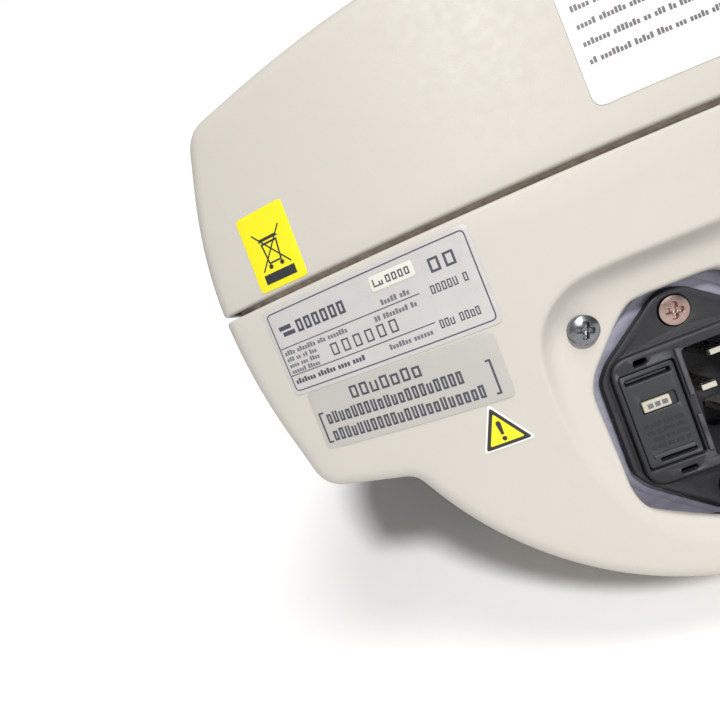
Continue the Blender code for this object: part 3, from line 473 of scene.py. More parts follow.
def finish(name, colour, roughness, metallic=0.0, vary=(0.05, 40), grain=(0.04, 1600), scuff=0.0,
           scuff_colour=(0.5, 0.5, 0.5), rough_vary=0.08, specular=0.5, ior=1.5, coat=0.0,
           transmission=0.0, stretch=None, fleck=0.0):
    """A moulded, painted or metal surface: mottled colour, fine grain, worn edges and uneven gloss. vary
    and grain are (strength, scale)."""
    vary, vary_scale = vary
    grain, grain_scale = grain
    made = bpy.data.materials.new(name)
    made.use_nodes = True
    nodes, links = made.node_tree.nodes, made.node_tree.links
    shader = nodes["Principled BSDF"]

    def add(kind, settings):
        """A node whose sockets are linked or set."""
        node = nodes.new("ShaderNode" + kind)
        for socket, value in settings.items():
            if isinstance(value, bpy.types.NodeSocket):
                links.new(value, node.inputs[socket])
            else:
                node.inputs[socket].default_value = value
        return node

    where = add("TexCoord", {}).outputs["Object"]
    if stretch:
        where = add("Mapping", {"Scale": stretch, "Vector": where}).outputs["Vector"]

    def noise(scale, detail=3.0):
        return add("TexNoise", {"Scale": scale, "Detail": detail, "Vector": where}).outputs["Fac"]

    def spread(value, low, high, start=0.3, end=0.7):
        return add("MapRange", {"From Min": start, "From Max": end, "To Min": low, "To Max": high,
                                "Value": value}).outputs["Result"]

    def mixed(share, a, b):
        made = nodes.new("ShaderNodeMix")
        made.data_type = "RGBA"
        links.new(share, made.inputs[0])
        for socket, value in ((made.inputs[6], a), (made.inputs[7], b)):
            if isinstance(value, tuple):
                socket.default_value = (*value, 1.0)
            else:
                links.new(value, socket)
        return made.outputs[2]

    light = tuple(min(1.0, c * (1 + vary)) for c in colour)
    dark = tuple(c * (1 - vary) for c in colour)
    tone = mixed(spread(noise(vary_scale), 0.0, 1.0), dark, light)
    if fleck:
        tone = mixed(spread(noise(grain_scale * 0.6, 1.0), 0.0, fleck, 0.62, 0.75), tone, scuff_colour)
    if scuff:
        edges = spread(add("NewGeometry", {}).outputs["Pointiness"], 0.0, scuff, 0.52, 0.6)
        broken = add("Math", {0: edges, 1: spread(noise(260), 0.2, 1.0)})
        broken.operation = "MULTIPLY"
        tone = mixed(broken.outputs[0], tone, scuff_colour)
    links.new(tone, shader.inputs["Base Color"])
    links.new(spread(noise(grain_scale * 0.15), max(0.02, roughness - rough_vary), roughness + rough_vary),
              shader.inputs["Roughness"])
    for socket, value in (("Metallic", metallic), ("Specular IOR Level", specular), ("IOR", ior),
                          ("Coat Weight", coat), ("Transmission Weight", transmission)):
        shader.inputs[socket].default_value = value
    if grain:
        bump = add("Bump", {"Strength": grain, "Distance": 0.0002, "Height": noise(grain_scale, 2.0)})
        links.new(bump.outputs["Normal"], shader.inputs["Normal"])
    return made


CASING = finish("moulded_casing", srgb(180, 176, 169), 0.52, vary=(0.012, 14), grain=(0.10, 2600),
                scuff=0.12, scuff_colour=srgb(206, 202, 195), specular=0.3)
BLACK = finish("black_moulding", srgb(37, 38, 41), 0.5, vary=(0.10, 90), grain=(0.25, 2200), scuff=0.5,
               scuff_colour=srgb(104, 104, 106), specular=0.35)
DRAWER = finish("drawer_moulding", srgb(44, 46, 49), 0.48, vary=(0.10, 120), grain=(0.3, 2400), scuff=0.4,
                scuff_colour=srgb(96, 98, 100), specular=0.35)
DARK_GREY = finish("front_panel", srgb(70, 72, 76), 0.45, vary=(0.06, 30), grain=(0.35, 1800), scuff=0.2,
                   scuff_colour=srgb(120, 122, 124))
RUBBER = finish("foot_rubber", srgb(38, 38, 38), 0.85, vary=(0.15, 150), grain=(0.3, 1500))
FOAM = finish("seam_foam", srgb(186, 172, 158), 0.95, vary=(0.2, 500), grain=(0.9, 1400))
CAST = finish("cast_paint", srgb(120, 122, 126), 0.45, metallic=0.3, vary=(0.06, 60), grain=(0.8, 900),
              scuff=0.4, scuff_colour=srgb(185, 186, 188))
ZINC = finish("zinc_plate", srgb(150, 150, 166), 0.46, metallic=0.6, vary=(0.07, 120), grain=(0.15, 900),
              stretch=(1, 1, 6))
TUBE = finish("lens_tube", srgb(34, 35, 37), 0.32, metallic=0.5, vary=(0.1, 120), grain=(0.35, 700),
              stretch=(0.1, 6, 0.1), scuff=0.5, scuff_colour=srgb(120, 120, 122))
STEEL = finish("steel", srgb(196, 196, 198), 0.25, metallic=1.0, vary=(0.06, 300), grain=(0.1, 1200),
               stretch=(1, 6, 1))
# Flange screws: chrome whose pink tint is a painted reflection of something pink nearby, not a colour of the
# metal itself.
CHROME_PAINTED_PINK_REFLECTION = finish("screw_chrome", srgb(178, 154, 146), 0.32, metallic=1.0, vary=(0.12, 700),
                grain=(0.1, 1500))
DARK_CHROME = finish("pan_screw", srgb(128, 130, 136), 0.3, metallic=1.0, vary=(0.14, 700),
                     grain=(0.12, 1500))
NICKEL = finish("pin_nickel", srgb(214, 208, 196), 0.22, metallic=1.0, vary=(0.06, 500),
                grain=(0.08, 1500), stretch=(1, 4, 1))
BRASS = finish("turned_brass", srgb(200, 170, 104), 0.28, metallic=1.0, vary=(0.08, 220),
               grain=(0.15, 1200))
SILVER_LABEL = finish("silver_label", srgb(178, 176, 175), 0.34, metallic=0.1, vary=(0.02, 60),
                      grain=(0.06, 2200), fleck=0.06, scuff_colour=(0.4, 0.4, 0.4))
GREY_LABEL = finish("grey_label", srgb(168, 166, 161), 0.38, metallic=0.1, vary=(0.02, 60),
                    grain=(0.06, 2200), fleck=0.08, scuff_colour=(0.3, 0.3, 0.3))
YELLOW = finish("yellow_label", srgb(214, 205, 22), 0.4, vary=(0.02, 80), grain=(0.05, 2000))
WHITE = finish("white_label", srgb(216, 215, 211), 0.42, vary=(0.01, 80), grain=(0.05, 2000))
CREAM_STICKER = finish("date_sticker", srgb(198, 195, 188), 0.45, vary=(0.02, 120), grain=(0.08, 1800))
INK, SOLID_INK, PALE_INK = (
    finish(name, srgb(*colour), 0.5, vary=(0.1, 900), grain=(0.1, 2500))
    for name, colour in (("label_ink", (62, 62, 74)), ("solid_ink", (36, 37, 40)),
                         ("pale_ink", (98, 97, 106))))
CREAM = finish("cream_insert", srgb(172, 168, 152), 0.5, vary=(0.03, 200), grain=(0.2, 2000))
CERAMIC = finish("ceramic", srgb(226, 222, 210), 0.6, vary=(0.05, 200), grain=(0.4, 1500))
MIRROR = finish("reflector_mirror", srgb(226, 226, 228), 0.06, metallic=1.0, vary=(0.02, 40),
                grain=(0.02, 1600), rough_vary=0.03)
COPPER = finish("copper_winding", srgb(176, 104, 62), 0.35, metallic=0.9, vary=(0.12, 60),
                grain=(0.9, 260), stretch=(0.2, 0.2, 8))
BOARD = finish("circuit_board", srgb(24, 92, 52), 0.35, vary=(0.2, 260), grain=(0.3, 900), fleck=0.5,
               scuff_colour=srgb(196, 168, 92))
GLASS = finish("lens_glass", srgb(225, 236, 240), 0.04, vary=(0.01, 40), grain=(0.0, 1600),
               rough_vary=0.02, ior=1.52, transmission=0.92, coat=0.5)
COATED = finish("coated_glass", srgb(150, 140, 190), 0.05, vary=(0.02, 40), grain=(0.0, 1600),
                rough_vary=0.02, ior=1.7, transmission=0.8, coat=1.0)
IR_RED = finish("infrared_window", srgb(60, 6, 14), 0.12, vary=(0.1, 60), grain=(0.03, 1600), coat=0.6,
                rough_vary=0.04)
PILOT = finish("pilot_green", srgb(70, 190, 96), 0.25, vary=(0.08, 200), grain=(0.05, 1600), coat=0.4)

NODE_FINISHES = (  # what the frame's own nodes that stay visible are made of
    (FOAM, "seam_seal"),
    (ZINC, "chassis optics_frame lamp_house lens_mount"),
    (NICKEL, "pin_line pin_neutral pin_earth"),
    (BRASS, "chart_pinion mask_pinion"),
    (STEEL, "chart_motor mask_motor transformer_core swivel_post tilt_pin"),
    (COPPER, "transformer_coil"),
    (BOARD, "main_board"),
    (CERAMIC, "lamp_socket"),
    (MIRROR, "reflector"),
    (COATED, "heat_filter front_lens rear_lens"),
    (GLASS, "condenser_lens lamp_bulb fuse_upper fuse_lower"),
    (TUBE, "lens_barrel"),
    (CAST, "turntable tilt_hanger"),
    (BLACK, "fan_housing fan_rotor chart_disc mask_disc switch_bezel power_rocker"),
    (PILOT, "pilot_lamp"),
    (RUBBER, "foot_rear_left foot_rear_right foot_front_left foot_front_right"),
)
for material, nodes in NODE_FINISHES:
    for node in nodes.split():
        for carried in frame["nodes"][node].material_slots:
            carried.material = material


# ---------------------------------------------------------------- the covers
SEAM_LOW, SEAM_UP = -(SEAM_GAP + SEAM_ROUND), SEAM_GAP + SEAM_ROUND
LOW_Z = [SEAM_LOW + (-37.0 - SEAM_LOW) * i / 10 for i in range(11)]
UP_Z = [SEAM_UP + (33.0 - SEAM_UP) * i / 9 for i in range(10)]
BELLY_RING_Y = [BELLY_END[0] + (BELLY_END[1] - BELLY_END[0]) * math.sin(math.pi / 2 * i / 10)
                for i in range(11)]
LOWER_Y = [-34.0, -40.0, -50.0, -60.0, -70.0, *BELLY_RING_Y, -96.0, -105.0, -115.0, -125.0, -135.0, -142.0,
           -150.0, -160.0, -170.0, -178.0, -190.0, -200.0, -210.0, -220.0, -230.0, -240.0, -248.0, FRONT_EDGE]
UPPER_Y = [-34.0, *(-40.0 - 9 * i for i in range(24)), FRONT_EDGE]
TOP_X = [70.0 - 5 * i for i in range(29)]
ROUND_STEPS = 7


def low_side(z):
    return HALF_WIDTH - SIDE_CURVE_DOWN * z * z


def up_side(z):
    return HALF_WIDTH - SIDE_CURVE_UP * z * z


def up_height(z, y):
    return SEAM_GAP + (z - SEAM_GAP) * top_scale(y)


def full_lower(y, belly):
    side = [(low_side(z) * width_scale(y), z) for z in LOW_Z[:-1]]
    return mirrored(side + lower_half(y, belly))


def full_upper(y):
    side = [(up_side(z) * width_scale(y), up_height(z, y)) for z in UP_Z[:-1]]
    crown = [(x * width_scale(y), up_height(TOP_HEIGHT - TOP_CROWN * x * x, y)) for x in TOP_X[1:15]]
    return mirrored(side + upper_half(y) + crown)


def rear_rounding(sheet, outline, up):
    """The rounded edge from the sides to the rear face. Gives the face's edge."""
    lines = []
    for k in range(ROUND_STEPS + 1):
        angle = math.pi / 2 * k / ROUND_STEPS
        line = inset(outline, EDGE_R * (1 - math.cos(angle)), up)
        lines.append([row(x, rear_y(x, z) - EDGE_R * (1 - math.sin(angle)), z) for x, z in line])
    sheet.strip(lines)
    return inset(outline, EDGE_R, up)


def stadium(y0, y1, z0, z1):
    return rounded([(y0, z0), (y1, z0), (y1, z1), (y0, z1)], (y1 - y0) / 2, 8)


def side_wall(sheet, side, heights, stations, curve, place_z, slot_z, more=()):
    """One side wall in (y, z), with its cooling slots."""
    def lift(y, z):
        return row(side * curve(z) * width_scale(y), y, place_z(z, y))

    rear = [(rear_y(curve(z), z) - EDGE_R, z) for z in heights]
    front = [(FRONT_EDGE, z) for z in reversed(heights)]
    near = [(y, heights[0]) for y in reversed(stations[:-1])]
    far = [(y, heights[-1]) for y in stations[:-1]]
    loop = rear + far + front + near
    holes = [stadium(SLOT_Y + SLOT_PITCH * i - SLOT_ROUND, SLOT_Y + SLOT_PITCH * i + SLOT_WIDE + SLOT_ROUND,
                     slot_z[0] - SLOT_ROUND, slot_z[1] + SLOT_ROUND) for i in range(SLOT_COUNT)]
    holes += more
    sheet.fill([loop, *holes], 5.0, 1.6, lift)


WELL_LOOP = resample(rounded(mirror_loop(WELL), 4, 5), 1.5, closed=True)
CUT_LOOP = resample(rounded(mirror_loop(CUTOUT), 3, 5), 1.1, closed=True)
CUT_ROUND = 1.2
WELL_SOFT = 0.13             # how soft the recess's upper edge is, as a share of the wall
HANGER_OPENING = (27, 18)    # half sizes of the lower cover's hole for the hanger
REAR_ZONE = 0.03             # in metres: faces nearer the rear than this are turned to the rear


def recessed(points):
    """The rear face's y at points (x, z), with the recess round the power inlet."""
    x, z = points[:, 0], points[:, 1]
    face = rear_y(x, z)
    far, normal = distance_to(points, facing_loop(WELL_LOOP))
    reach = 4.4 + 2.6 * np.clip(normal[:, 1], 0, 1)
    t = np.clip(np.where(inside(points, WELL_LOOP), far, 0.0) / reach, 0, 1)
    share = (np.sqrt(t * t + WELL_SOFT ** 2) - WELL_SOFT) / (math.sqrt(1 + WELL_SOFT ** 2) - WELL_SOFT)
    share = 1 - (1 - share) ** 2.2
    return face - share * np.clip(face - recess_y(z), 0, None)


def lower_cover():
    sheet = Sheet()
    outline = full_lower(0.0, 1.0)
    edge = rear_rounding(sheet, outline, up=False)
    side_count = len(LOW_Z) - 1
    rings = [[(x, rear_y(x, z) - EDGE_R, z) for x, z in outline]]
    rings += [[(x, y, z) for x, z in full_lower(y, belly_share(y))] for y in LOWER_Y]
    sheet.strip([[row(*p) for p in ring[side_count:len(ring) - side_count]] for ring in rings])
    switch = block(SWITCH_Y - 9.6, SWITCH_Z - 7.1, SWITCH_Y + 9.6, SWITCH_Z + 7.1, 1.0)
    for side in (-1, 1):
        side_wall(sheet, side, LOW_Z, LOWER_Y, low_side, lambda z, y: z, (-30, -8),
                  [switch] if side < 0 else [])
    seam_line = resample([(-edge[0][0], SEAM_LOW), (edge[0][0], SEAM_LOW)], 2.5)
    face = edge + seam_line[1:-1]
    hole = grown(CUT_LOOP, CUT_ROUND)
    screws = [circle(2.3, 20, (s * COVER_SCREW[0], COVER_SCREW[1])) for s in (-1, 1)]
    rings = [face, hole, *screws]
    extra = lattice([face, grown(WELL_LOOP, 2.5)], 4.5, 2.0)
    for step in (2.0, 1.0, 0.3, -0.25, -0.75, -1.25, -1.75, -2.3, -2.9, -3.5, -4.2, -5.0, -5.9, -6.9, -8.2):
        ring = np.array(grown(WELL_LOOP, step))
        keep = inside(ring, face) & ~inside(ring, hole)
        for other in rings:
            keep &= distance_to(ring, other)[0] > 0.45
        if step < 0:  # a ring moved inward folds over itself in the recess's corners
            keep &= distance_to(ring, WELL_LOOP)[0] > -step - 0.08
        extra += [tuple(p) for p in ring[keep]]
    floor = lattice([grown(WELL_LOOP, -8.6), hole, *screws], 1.6, 0.7)
    extra += floor
    sheet.patch([face, hole, *screws], extra, field=recessed)
    sheet.weld(lambda c: Vector((c.x, 0, c.z - ORIGIN.z + 0.02)) if c.y < ORIGIN.y - REAR_ZONE
               else Vector((0, 1, 0)))
    half_x, half_y = HANGER_OPENING
    low, high = row(-half_x, PIVOT_Y - half_y, -60), row(half_x, PIVOT_Y + half_y, -40)
    for axis, at in ((0, low.x), (0, high.x), (1, low.y), (1, high.y)):
        near = [f for f in sheet.bm.faces if f.normal.z < -0.7 and abs(f.calc_center_median().x) < 0.04
                and low.y - 0.02 < f.calc_center_median().y < high.y + 0.02]
        geom = list({*near, *(e for f in near for e in f.edges), *(v for f in near for v in f.verts)})
        normal = Vector((1, 0, 0)) if axis == 0 else Vector((0, 1, 0))
        bmesh.ops.bisect_plane(sheet.bm, geom=geom, dist=1e-7, plane_co=normal * at, plane_no=normal)
    gone = [f for f in sheet.bm.faces if f.normal.z < -0.7 and low.x < f.calc_center_median().x < high.x
            and low.y < f.calc_center_median().y < high.y]
    bmesh.ops.delete(sheet.bm, geom=gone, context="FACES")
    sheet.lip(SEAM_ROUND, WALL, lambda x, y, z: abs(z - SEAM_LOW) < 0.1)
    sheet.lip(CUT_ROUND, WALL + 0.4, lambda x, y, z: y > -20 and abs(x) < 26 and z < -27)
    sheet.lip(SLOT_ROUND, WALL, lambda x, y, z: abs(x) > 80 and y > FRONT_EDGE + 1 and SEAM_LOW - 1 > z)
    sheet.lip(0.3, WALL, lambda x, y, z: y < FRONT_EDGE + 1 and z < SEAM_LOW)
    sheet.lip(0.3, WALL, lambda x, y, z: low.y < y * MM + ORIGIN.y < high.y and abs(x) < 28 and z > -52
              and abs(z - SHOULDER_Z) < 0.2)
    return sheet.object("lower_cover", "projector", CASING, "casing", ["lower_shell"])


def top_lift(x, y):
    return row(x * width_scale(y), y, up_height(TOP_HEIGHT - TOP_CROWN * x * x, y))


def on_top(loop):
    """A loop in real (x, y) as the top's own (x, y)."""
    return [(x / width_scale(y), y) for x, y in loop]


def door_loop(grow):
    """The lamp door's outline, moved outward."""
    outline = block(-DOOR_HALF - grow, DOOR_FRONT - grow, DOOR_HALF + grow, DOOR_REAR + grow, 1.5)
    return on_top(resample(outline, 3.0, closed=True))


def upper_shell():
    sheet = Sheet()
    outline = full_upper(0.0)
    edge = rear_rounding(sheet, outline, up=True)
    rings = [[(x, rear_y(x, z) - EDGE_R, z) for x, z in outline]]
    rings += [[(x, y, z) for x, z in full_upper(y)] for y in UPPER_Y]
    first = len(UP_Z) - 1
    last = first + len(upper_half(0.0)) - 1
    sheet.strip([[row(*p) for p in ring[first:last + 1]] for ring in rings])
    sheet.strip([[row(*p) for p in ring[len(ring) - 1 - last:len(ring) - first]] for ring in rings])
    for side in (-1, 1):
        side_wall(sheet, side, UP_Z, UPPER_Y, up_side, up_height, (8, 32))
    top_rear = [(x, rear_y(x, TOP_HEIGHT - TOP_CROWN * x * x) - EDGE_R) for x in TOP_X]
    loop = top_rear + [(-70.0, y) for y in UPPER_Y[:-1]] + [(x, FRONT_EDGE) for x in reversed(TOP_X)]
    loop += [(70.0, y) for y in reversed(UPPER_Y[:-1])]
    sheet.fill([loop, door_loop(0.5)], 5.0, 2.0, top_lift)
    seam_line = resample([(-edge[0][0], SEAM_UP), (edge[0][0], SEAM_UP)], 2.5)
    face = edge + seam_line[1:-1]
    sheet.fill([face], 4.5, 2.0, lambda u, v: row(u, rear_y(u, v), v))
    sheet.weld(lambda c: Vector((c.x, 0, c.z - ORIGIN.z)) if c.y < ORIGIN.y - REAR_ZONE
               else Vector((0, 1, 0)))
    sheet.lip(SEAM_ROUND, WALL, lambda x, y, z: abs(z - SEAM_UP) < 0.12)
    sheet.lip(SLOT_ROUND, WALL, lambda x, y, z: (abs(x) > 70 or z > 40) and y > FRONT_EDGE + 1
              and z > SEAM_UP)
    sheet.lip(0.3, WALL, lambda x, y, z: y < FRONT_EDGE + 1 and z > SEAM_UP)
    return sheet.object("upper_shell", "projector", CASING, "casing", ["upper_cover"])


def door():
    sheet = Sheet()
    louvres = [on_top(rounded([(-24.4, y - 0.4), (24.4, y - 0.4), (24.4, y + 2.8), (-24.4, y + 2.8)], 1.6, 8))
               for y in (DOOR_REAR - 12 - 6 * i for i in range(5))]
    louvres = [resample(loop, 1.6, closed=True) for loop in louvres]
    sheet.fill([door_loop(-1.0), *louvres], 4.0, 1.2, top_lift)
    sheet.weld(lambda c: Vector((0, 0, 1)))
    sheet.lip(0.4, WALL).back()
    return sheet.object("lamp_hatch", "lamp_door", CASING, "casing", ["lamp_door"])


lower_cover()
upper_shell()
door()


# ---------------------------------------------------------------- plates, screws and the power inlet
def plate(loops, y, radius, depth, spacing=3.0, field=None, where=None):
    """A flat or curved face in (x, z), rounded over along every edge and depth thick."""
    sheet = Sheet()
    outer = grown(loops[0], -radius)
    holes = [grown(loop, radius) for loop in loops[1:]]
    sheet.fill([outer, *holes], spacing, spacing * 0.4, field=field or (lambda at: np.full(len(at), y)))
    sheet.weld(lambda c: Vector((0, 1, 0)))
    return sheet.lip(radius, depth, where)


def rear_field(lift):
    """A field that stands lift above the rear face."""
    return lambda at: rear_y(at[:, 0], at[:, 1]) + lift


def screw(name, centre, radius, top, crown, spin, material, slot, node, sides):
    """A screw head with a crowned top and a cross recess: its y at the middle is top."""
    sheet = Sheet()
    lines = []
    count, rings = 72, 30
    for i in range(rings + 1):
        r = radius * i / rings
        line = []
        for k in range(count):
            angle = 2 * math.pi * k / count
            x, z = r * math.cos(angle), r * math.sin(angle)
            u = x * math.cos(spin) + z * math.sin(spin)
            v = -x * math.sin(spin) + z * math.cos(spin)
            depth = 0.0
            for a, b in ((u, v), (v, u)):
                wing = smooth((0.62 - abs(a)) / 0.22) * smooth((radius * 0.62 - abs(b)) / 0.35)
                depth = max(depth, wing)
            dish = smooth((0.95 - r) / 0.5)
            y = top - crown * (r / radius) ** 2.4 - depth * (1.0 + 0.35 * dish) * (1.0 - 0.25 * r / radius)
            line.append(row(centre[0] + x, y, centre[1] + z))
        lines.append(line)
    for drop, r in sides:
        lines.append([row(centre[0] + r * math.cos(2 * math.pi * k / count), top - crown - drop,
                          centre[1] + r * math.sin(2 * math.pi * k / count)) for k in range(count)])
    sheet.strip(lines, closed=True)
    sheet.weld(lambda c: Vector((0, 1, 0)))
    return sheet.object(name, "projector", material, slot, [node], 50)


FLANGE_HALF = [(0, -30.3), (3.4, -31.2), (16.6, -41.2), (19, -44.5), (19, -66.1), (16.6, -69.4), (3.4, -79.4),
               (0, -80.3)]
CAVITY = [(-15.2, -46.5), (-12.2, -43.2), (2.0, -43.2), (2.0, -67.4), (-12.2, -67.4), (-15.2, -64.1)]
RIM_Y = FLANGE_Y + 1.2
FLANGE_LOOP = rounded(mirror_loop(FLANGE_HALF), 1.6, 4)
DRAWER_Y = -7.5


def inlet():
    flange = resample(FLANGE_LOOP, 0.9, closed=True)
    rim = rounded([(-17, -69.8), (17, -69.8), (17, -40.8), (-17, -40.8)], 4.5, 8)
    sinks = [circle(3.6, 32, (0, INLET_Z + s * INLET_SCREW)) for s in (-1, 1)]
    made = Sheet()
    edge, inner, low = grown(flange, -0.4), grown(flange, -1.1), grown(flange, -1.45)
    made.stack([(edge, FLANGE_Y), (inner, FLANGE_Y), (low, FLANGE_Y - 0.35)])
    base = grown(rim, 0.3)
    made.fill([low, base, *sinks], 2.0, 0.6, lambda x, z: row(x, FLANGE_Y - 0.35, z))
    for sink in sinks:
        centre = np.array(sink).mean(0)
        steps = ((3.6, -0.35), (3.45, -0.45), (3.35, -0.7), (1.9, -2.0), (1.9, -5.0))
        made.stack([(circle(r, 32, centre), FLANGE_Y + h) for r, h in steps])
    top = grown(rim, -0.7)
    rise = [(grown(rim, 0.3), -0.35), (grown(rim, 0.08), -0.25), (rim, 0.0), (rim, 0.6)]
    rise += [(grown(rim, -0.7 * (1 - math.cos(a))), 0.6 + 0.6 * math.sin(a))
             for a in (math.pi / 8 * k for k in range(1, 5))]
    made.stack([(loop, FLANGE_Y + h) for loop, h in rise])
    cavity = rounded(CAVITY, 0.9, 5)
    bay = block(3.8, -66.0, 15.9, -44.3, 0.7)
    notches = [block(9.1, -43.5, 11.9, -42.15, 0.4), block(6.6, -68.7, 10.0, -67.6, 0.35)]
    holes = [grown(loop, 0.35) for loop in (cavity, bay, *notches)]
    made.fill([top, *holes], 2.2, 0.5, lambda x, z: row(x, RIM_Y, z))
    made.weld(lambda c: Vector((0, 1, 0)))
    made.lip(0.4, 1.8, lambda x, y, z: abs(y - FLANGE_Y) < 0.05)
    made.lip(0.35, 17.0, lambda x, y, z: abs(y - RIM_Y) < 0.05 and x < 2.6)
    made.lip(0.35, 24.0, lambda x, y, z: abs(y - RIM_Y) < 0.05 and x > 3.2 and -66.5 < z < -44.0)
    made.lip(0.3, 1.6, lambda x, y, z: abs(y - RIM_Y) < 0.05)
    depth = RIM_Y - 17.0
    made.fill([cavity], 3.0, 1.0, lambda x, z: row(x, depth, z))
    bmesh.ops.remove_doubles(made.bm, verts=made.bm.verts, dist=0.05 * MM)
    made.object("inlet_module", "projector", BLACK, "black_plastic", ["inlet_housing"], 50)
    for name, z0, z1 in (("bay_rail_lower", -65.6, -57.3), ("bay_rail_upper", -53.0, -42.5)):
        rail = plate([block(2.35, z0, 3.45, z1, 0.3, 3)], RIM_Y + 0.5, 0.25, 0.9)
        rail.object(name, "projector", BLACK, "black_plastic")


def flange_shim():
    """The bright plate close round the flange."""
    flange = resample(FLANGE_LOOP, 1.8, closed=True)
    made = plate([grown(flange, 2.4), grown(flange, -1.2)], -10.28, 0.05, 0.1, 2.0)
    made.object("flange_shim", "projector", ZINC, "zinc_plate")


def fuse_holder():
    """The drawer's face, with its window, thumb catch and faint raised marks."""
    face = block(4.1, -65.7, 15.6, -44.6, 0.9)
    window = block(5.6, -53.85, 13.2, -50.9, 0.4)
    grip = block(5.2, -64.9, 12.9, -63.9, 0.35)
    slot = block(5.0, -46.9, 14.7, -45.65, 0.3)
    made = plate([face, window, grip, slot], DRAWER_Y, 0.3, 1.5, 1.6,
                 where=lambda x, y, z: 4.65 < x < 15.05 and -65.25 < z < -45.3)
    made.lip(0.35, 24.0, lambda x, y, z: abs(y - DRAWER_Y) < 0.02)
    for floor, y in ((block(5.2, -54.2, 13.6, -50.5), -8.1), (block(4.8, -47.2, 14.9, -45.4), -10.0)):
        made.patch([floor], [], lambda x, z: row(x, y, z))
    made.object("fuse_carrier", "fuse_drawer", DRAWER, "black_plastic", ["fuse_drawer"], 50)
    ledge = plate([block(5.4, -46.5, 14.3, -45.95, 0.22)], -8.4, 0.15, 2.0, 2.0)
    ledge.object("drawer_ledge", "fuse_drawer", DRAWER, "black_plastic")
    insert = plate([block(7.05, -53.55, 12.95, -51.25, 0.3)], -7.35, 0.18, 0.7, 1.0)
    insert.object("voltage_insert", "fuse_drawer", CREAM, "cream_insert", ["voltage_window"])
    marks = Sheet()
    bars(marks, (9.9, -52.4), 0, [(-2.2, -0.55, -1.0, 0.5), (-0.6, -0.55, 0.5, 0.5), (0.9, -0.55, 2.1, 0.5)],
         lambda x, z: -7.33)
    marks.object("voltage_marks", "fuse_drawer", PALE_INK, "cream_insert")
    raised = Sheet()
    chance = random.Random(5)
    rows = []
    for k, z in enumerate((-56.6, -58.2, -59.8, -61.4)):
        at = 5.6
        while at < 13.4:
            wide = chance.uniform(0.8, 2.4)
            rows.append((at, z - 0.36, min(at + wide, 14.0), z + 0.36))
            at += wide + 0.5
    bars(raised, (0, 0), 0, rows, lambda x, z: -7.42)
    raised.object("drawer_relief", "fuse_drawer", BLACK, "black_plastic")
    latch = plate([block(5.4, -63.8, 14.3, -62.9, 0.3)], -7.15, 0.2, 0.5, 2.0)
    latch.object("drawer_latch", "fuse_drawer", DRAWER, "black_plastic")


def bars(sheet, centre, turn, boxes, height, spacing=3.5):
    """Thin printed or raised bars given in a label's own (u, v), laid on a surface of height(x, z)."""
    for u0, v0, u1, v1 in boxes:
        count = max(1, math.ceil((u1 - u0) / spacing))
        lines = []
        for v in (v0, v1):
            line = []
            for i in range(count + 1):
                x, z = turned_about([(u0 + (u1 - u0) * i / count, v)], centre, turn)[0]
                line.append(row(x, height(x, z), z))
            lines.append(line)
        rows = [[sheet.bm.verts.new(p) for p in line] for line in lines]
        for i in range(count):
            sheet.bm.faces.new((rows[0][i + 1], rows[0][i], rows[1][i], rows[1][i + 1]))


# ---------------------------------------------------------------- labels
INK_UP = 0.03                # print stands this far above its label
LABEL_UP = 0.17              # the label's top above the rear face
LABEL_DEPTH = 0.22


def printed(name, centre, turn, boxes, shapes, material, slot):
    """Greeked print on a label: bars, and outlines with holes, in the label's own (u, v)."""
    sheet = Sheet()
    boxes = [(-u1, v0, -u0, v1) for u0, v0, u1, v1 in boxes]
    shapes = [[[(-u, v) for u, v in loop] for loop in loops] for loops in shapes]
    bars(sheet, centre, turn, boxes, lambda x, z: rear_y(x, z) + LABEL_UP + INK_UP)
    for loops in shapes:
        loops = [dense(turned_about(loop, centre, turn), 2.0) for loop in loops]
        sheet.patch(loops, [], field=rear_field(LABEL_UP + INK_UP))
    bmesh.ops.recalc_face_normals(sheet.bm, faces=sheet.bm.faces)
    sheet.face_rear()
    return sheet.object(name, "projector", material, slot)


def words(seed, u0, u1, v, tall, letter=0.62, hollow=False, breaks=True):
    """A greeked line of print from u0 to u1: each letter is a small block, or a hollow one."""
    chance = random.Random(seed)
    made, at = [], u0
    step = tall * letter
    while at + step < u1:
        for _ in range(chance.randint(2, 8)):
            if at + step > u1:
                break
            wide, rise = step * 0.74, tall * (chance.choice((0.85, 1.0, 1.0)) if hollow else
                                              chance.choice((0.72, 0.72, 1.0)))
            low, high, thin = v - tall / 2, v - tall / 2 + rise, tall * (0.14 if breaks else 0.17)
            if hollow:
                made += [(at, low, at + thin, high), (at + wide - thin, low, at + wide, high),
                         (at + thin, low, at + wide - thin, low + thin)]
                if chance.random() < 0.7:
                    made.append((at + thin, high - thin, at + wide - thin, high))
            else:
                made.append((at, low, at + wide, high))
            at += step
        at += step * 0.8 if breaks else 0.0
    return made


def label(name, centre, turn, loop, material, slot, node, radius=0.1):
    outline = dense(turned_about(loop, centre, turn), 2.0)
    made = plate([outline], 0, radius, LABEL_DEPTH, 3.2, field=rear_field(LABEL_UP))
    return made.object(name, "projector", material, slot, [node] if node else ())


def frame_line(w, h, r, thick):
    """A rounded line of even thickness, as an outline and its hole."""
    inner = block(-w / 2 + thick, -h / 2 + thick, w / 2 - thick, h / 2 - thick, max(0.2, r - thick))
    return [block(-w / 2, -h / 2, w / 2, h / 2, r), inner]


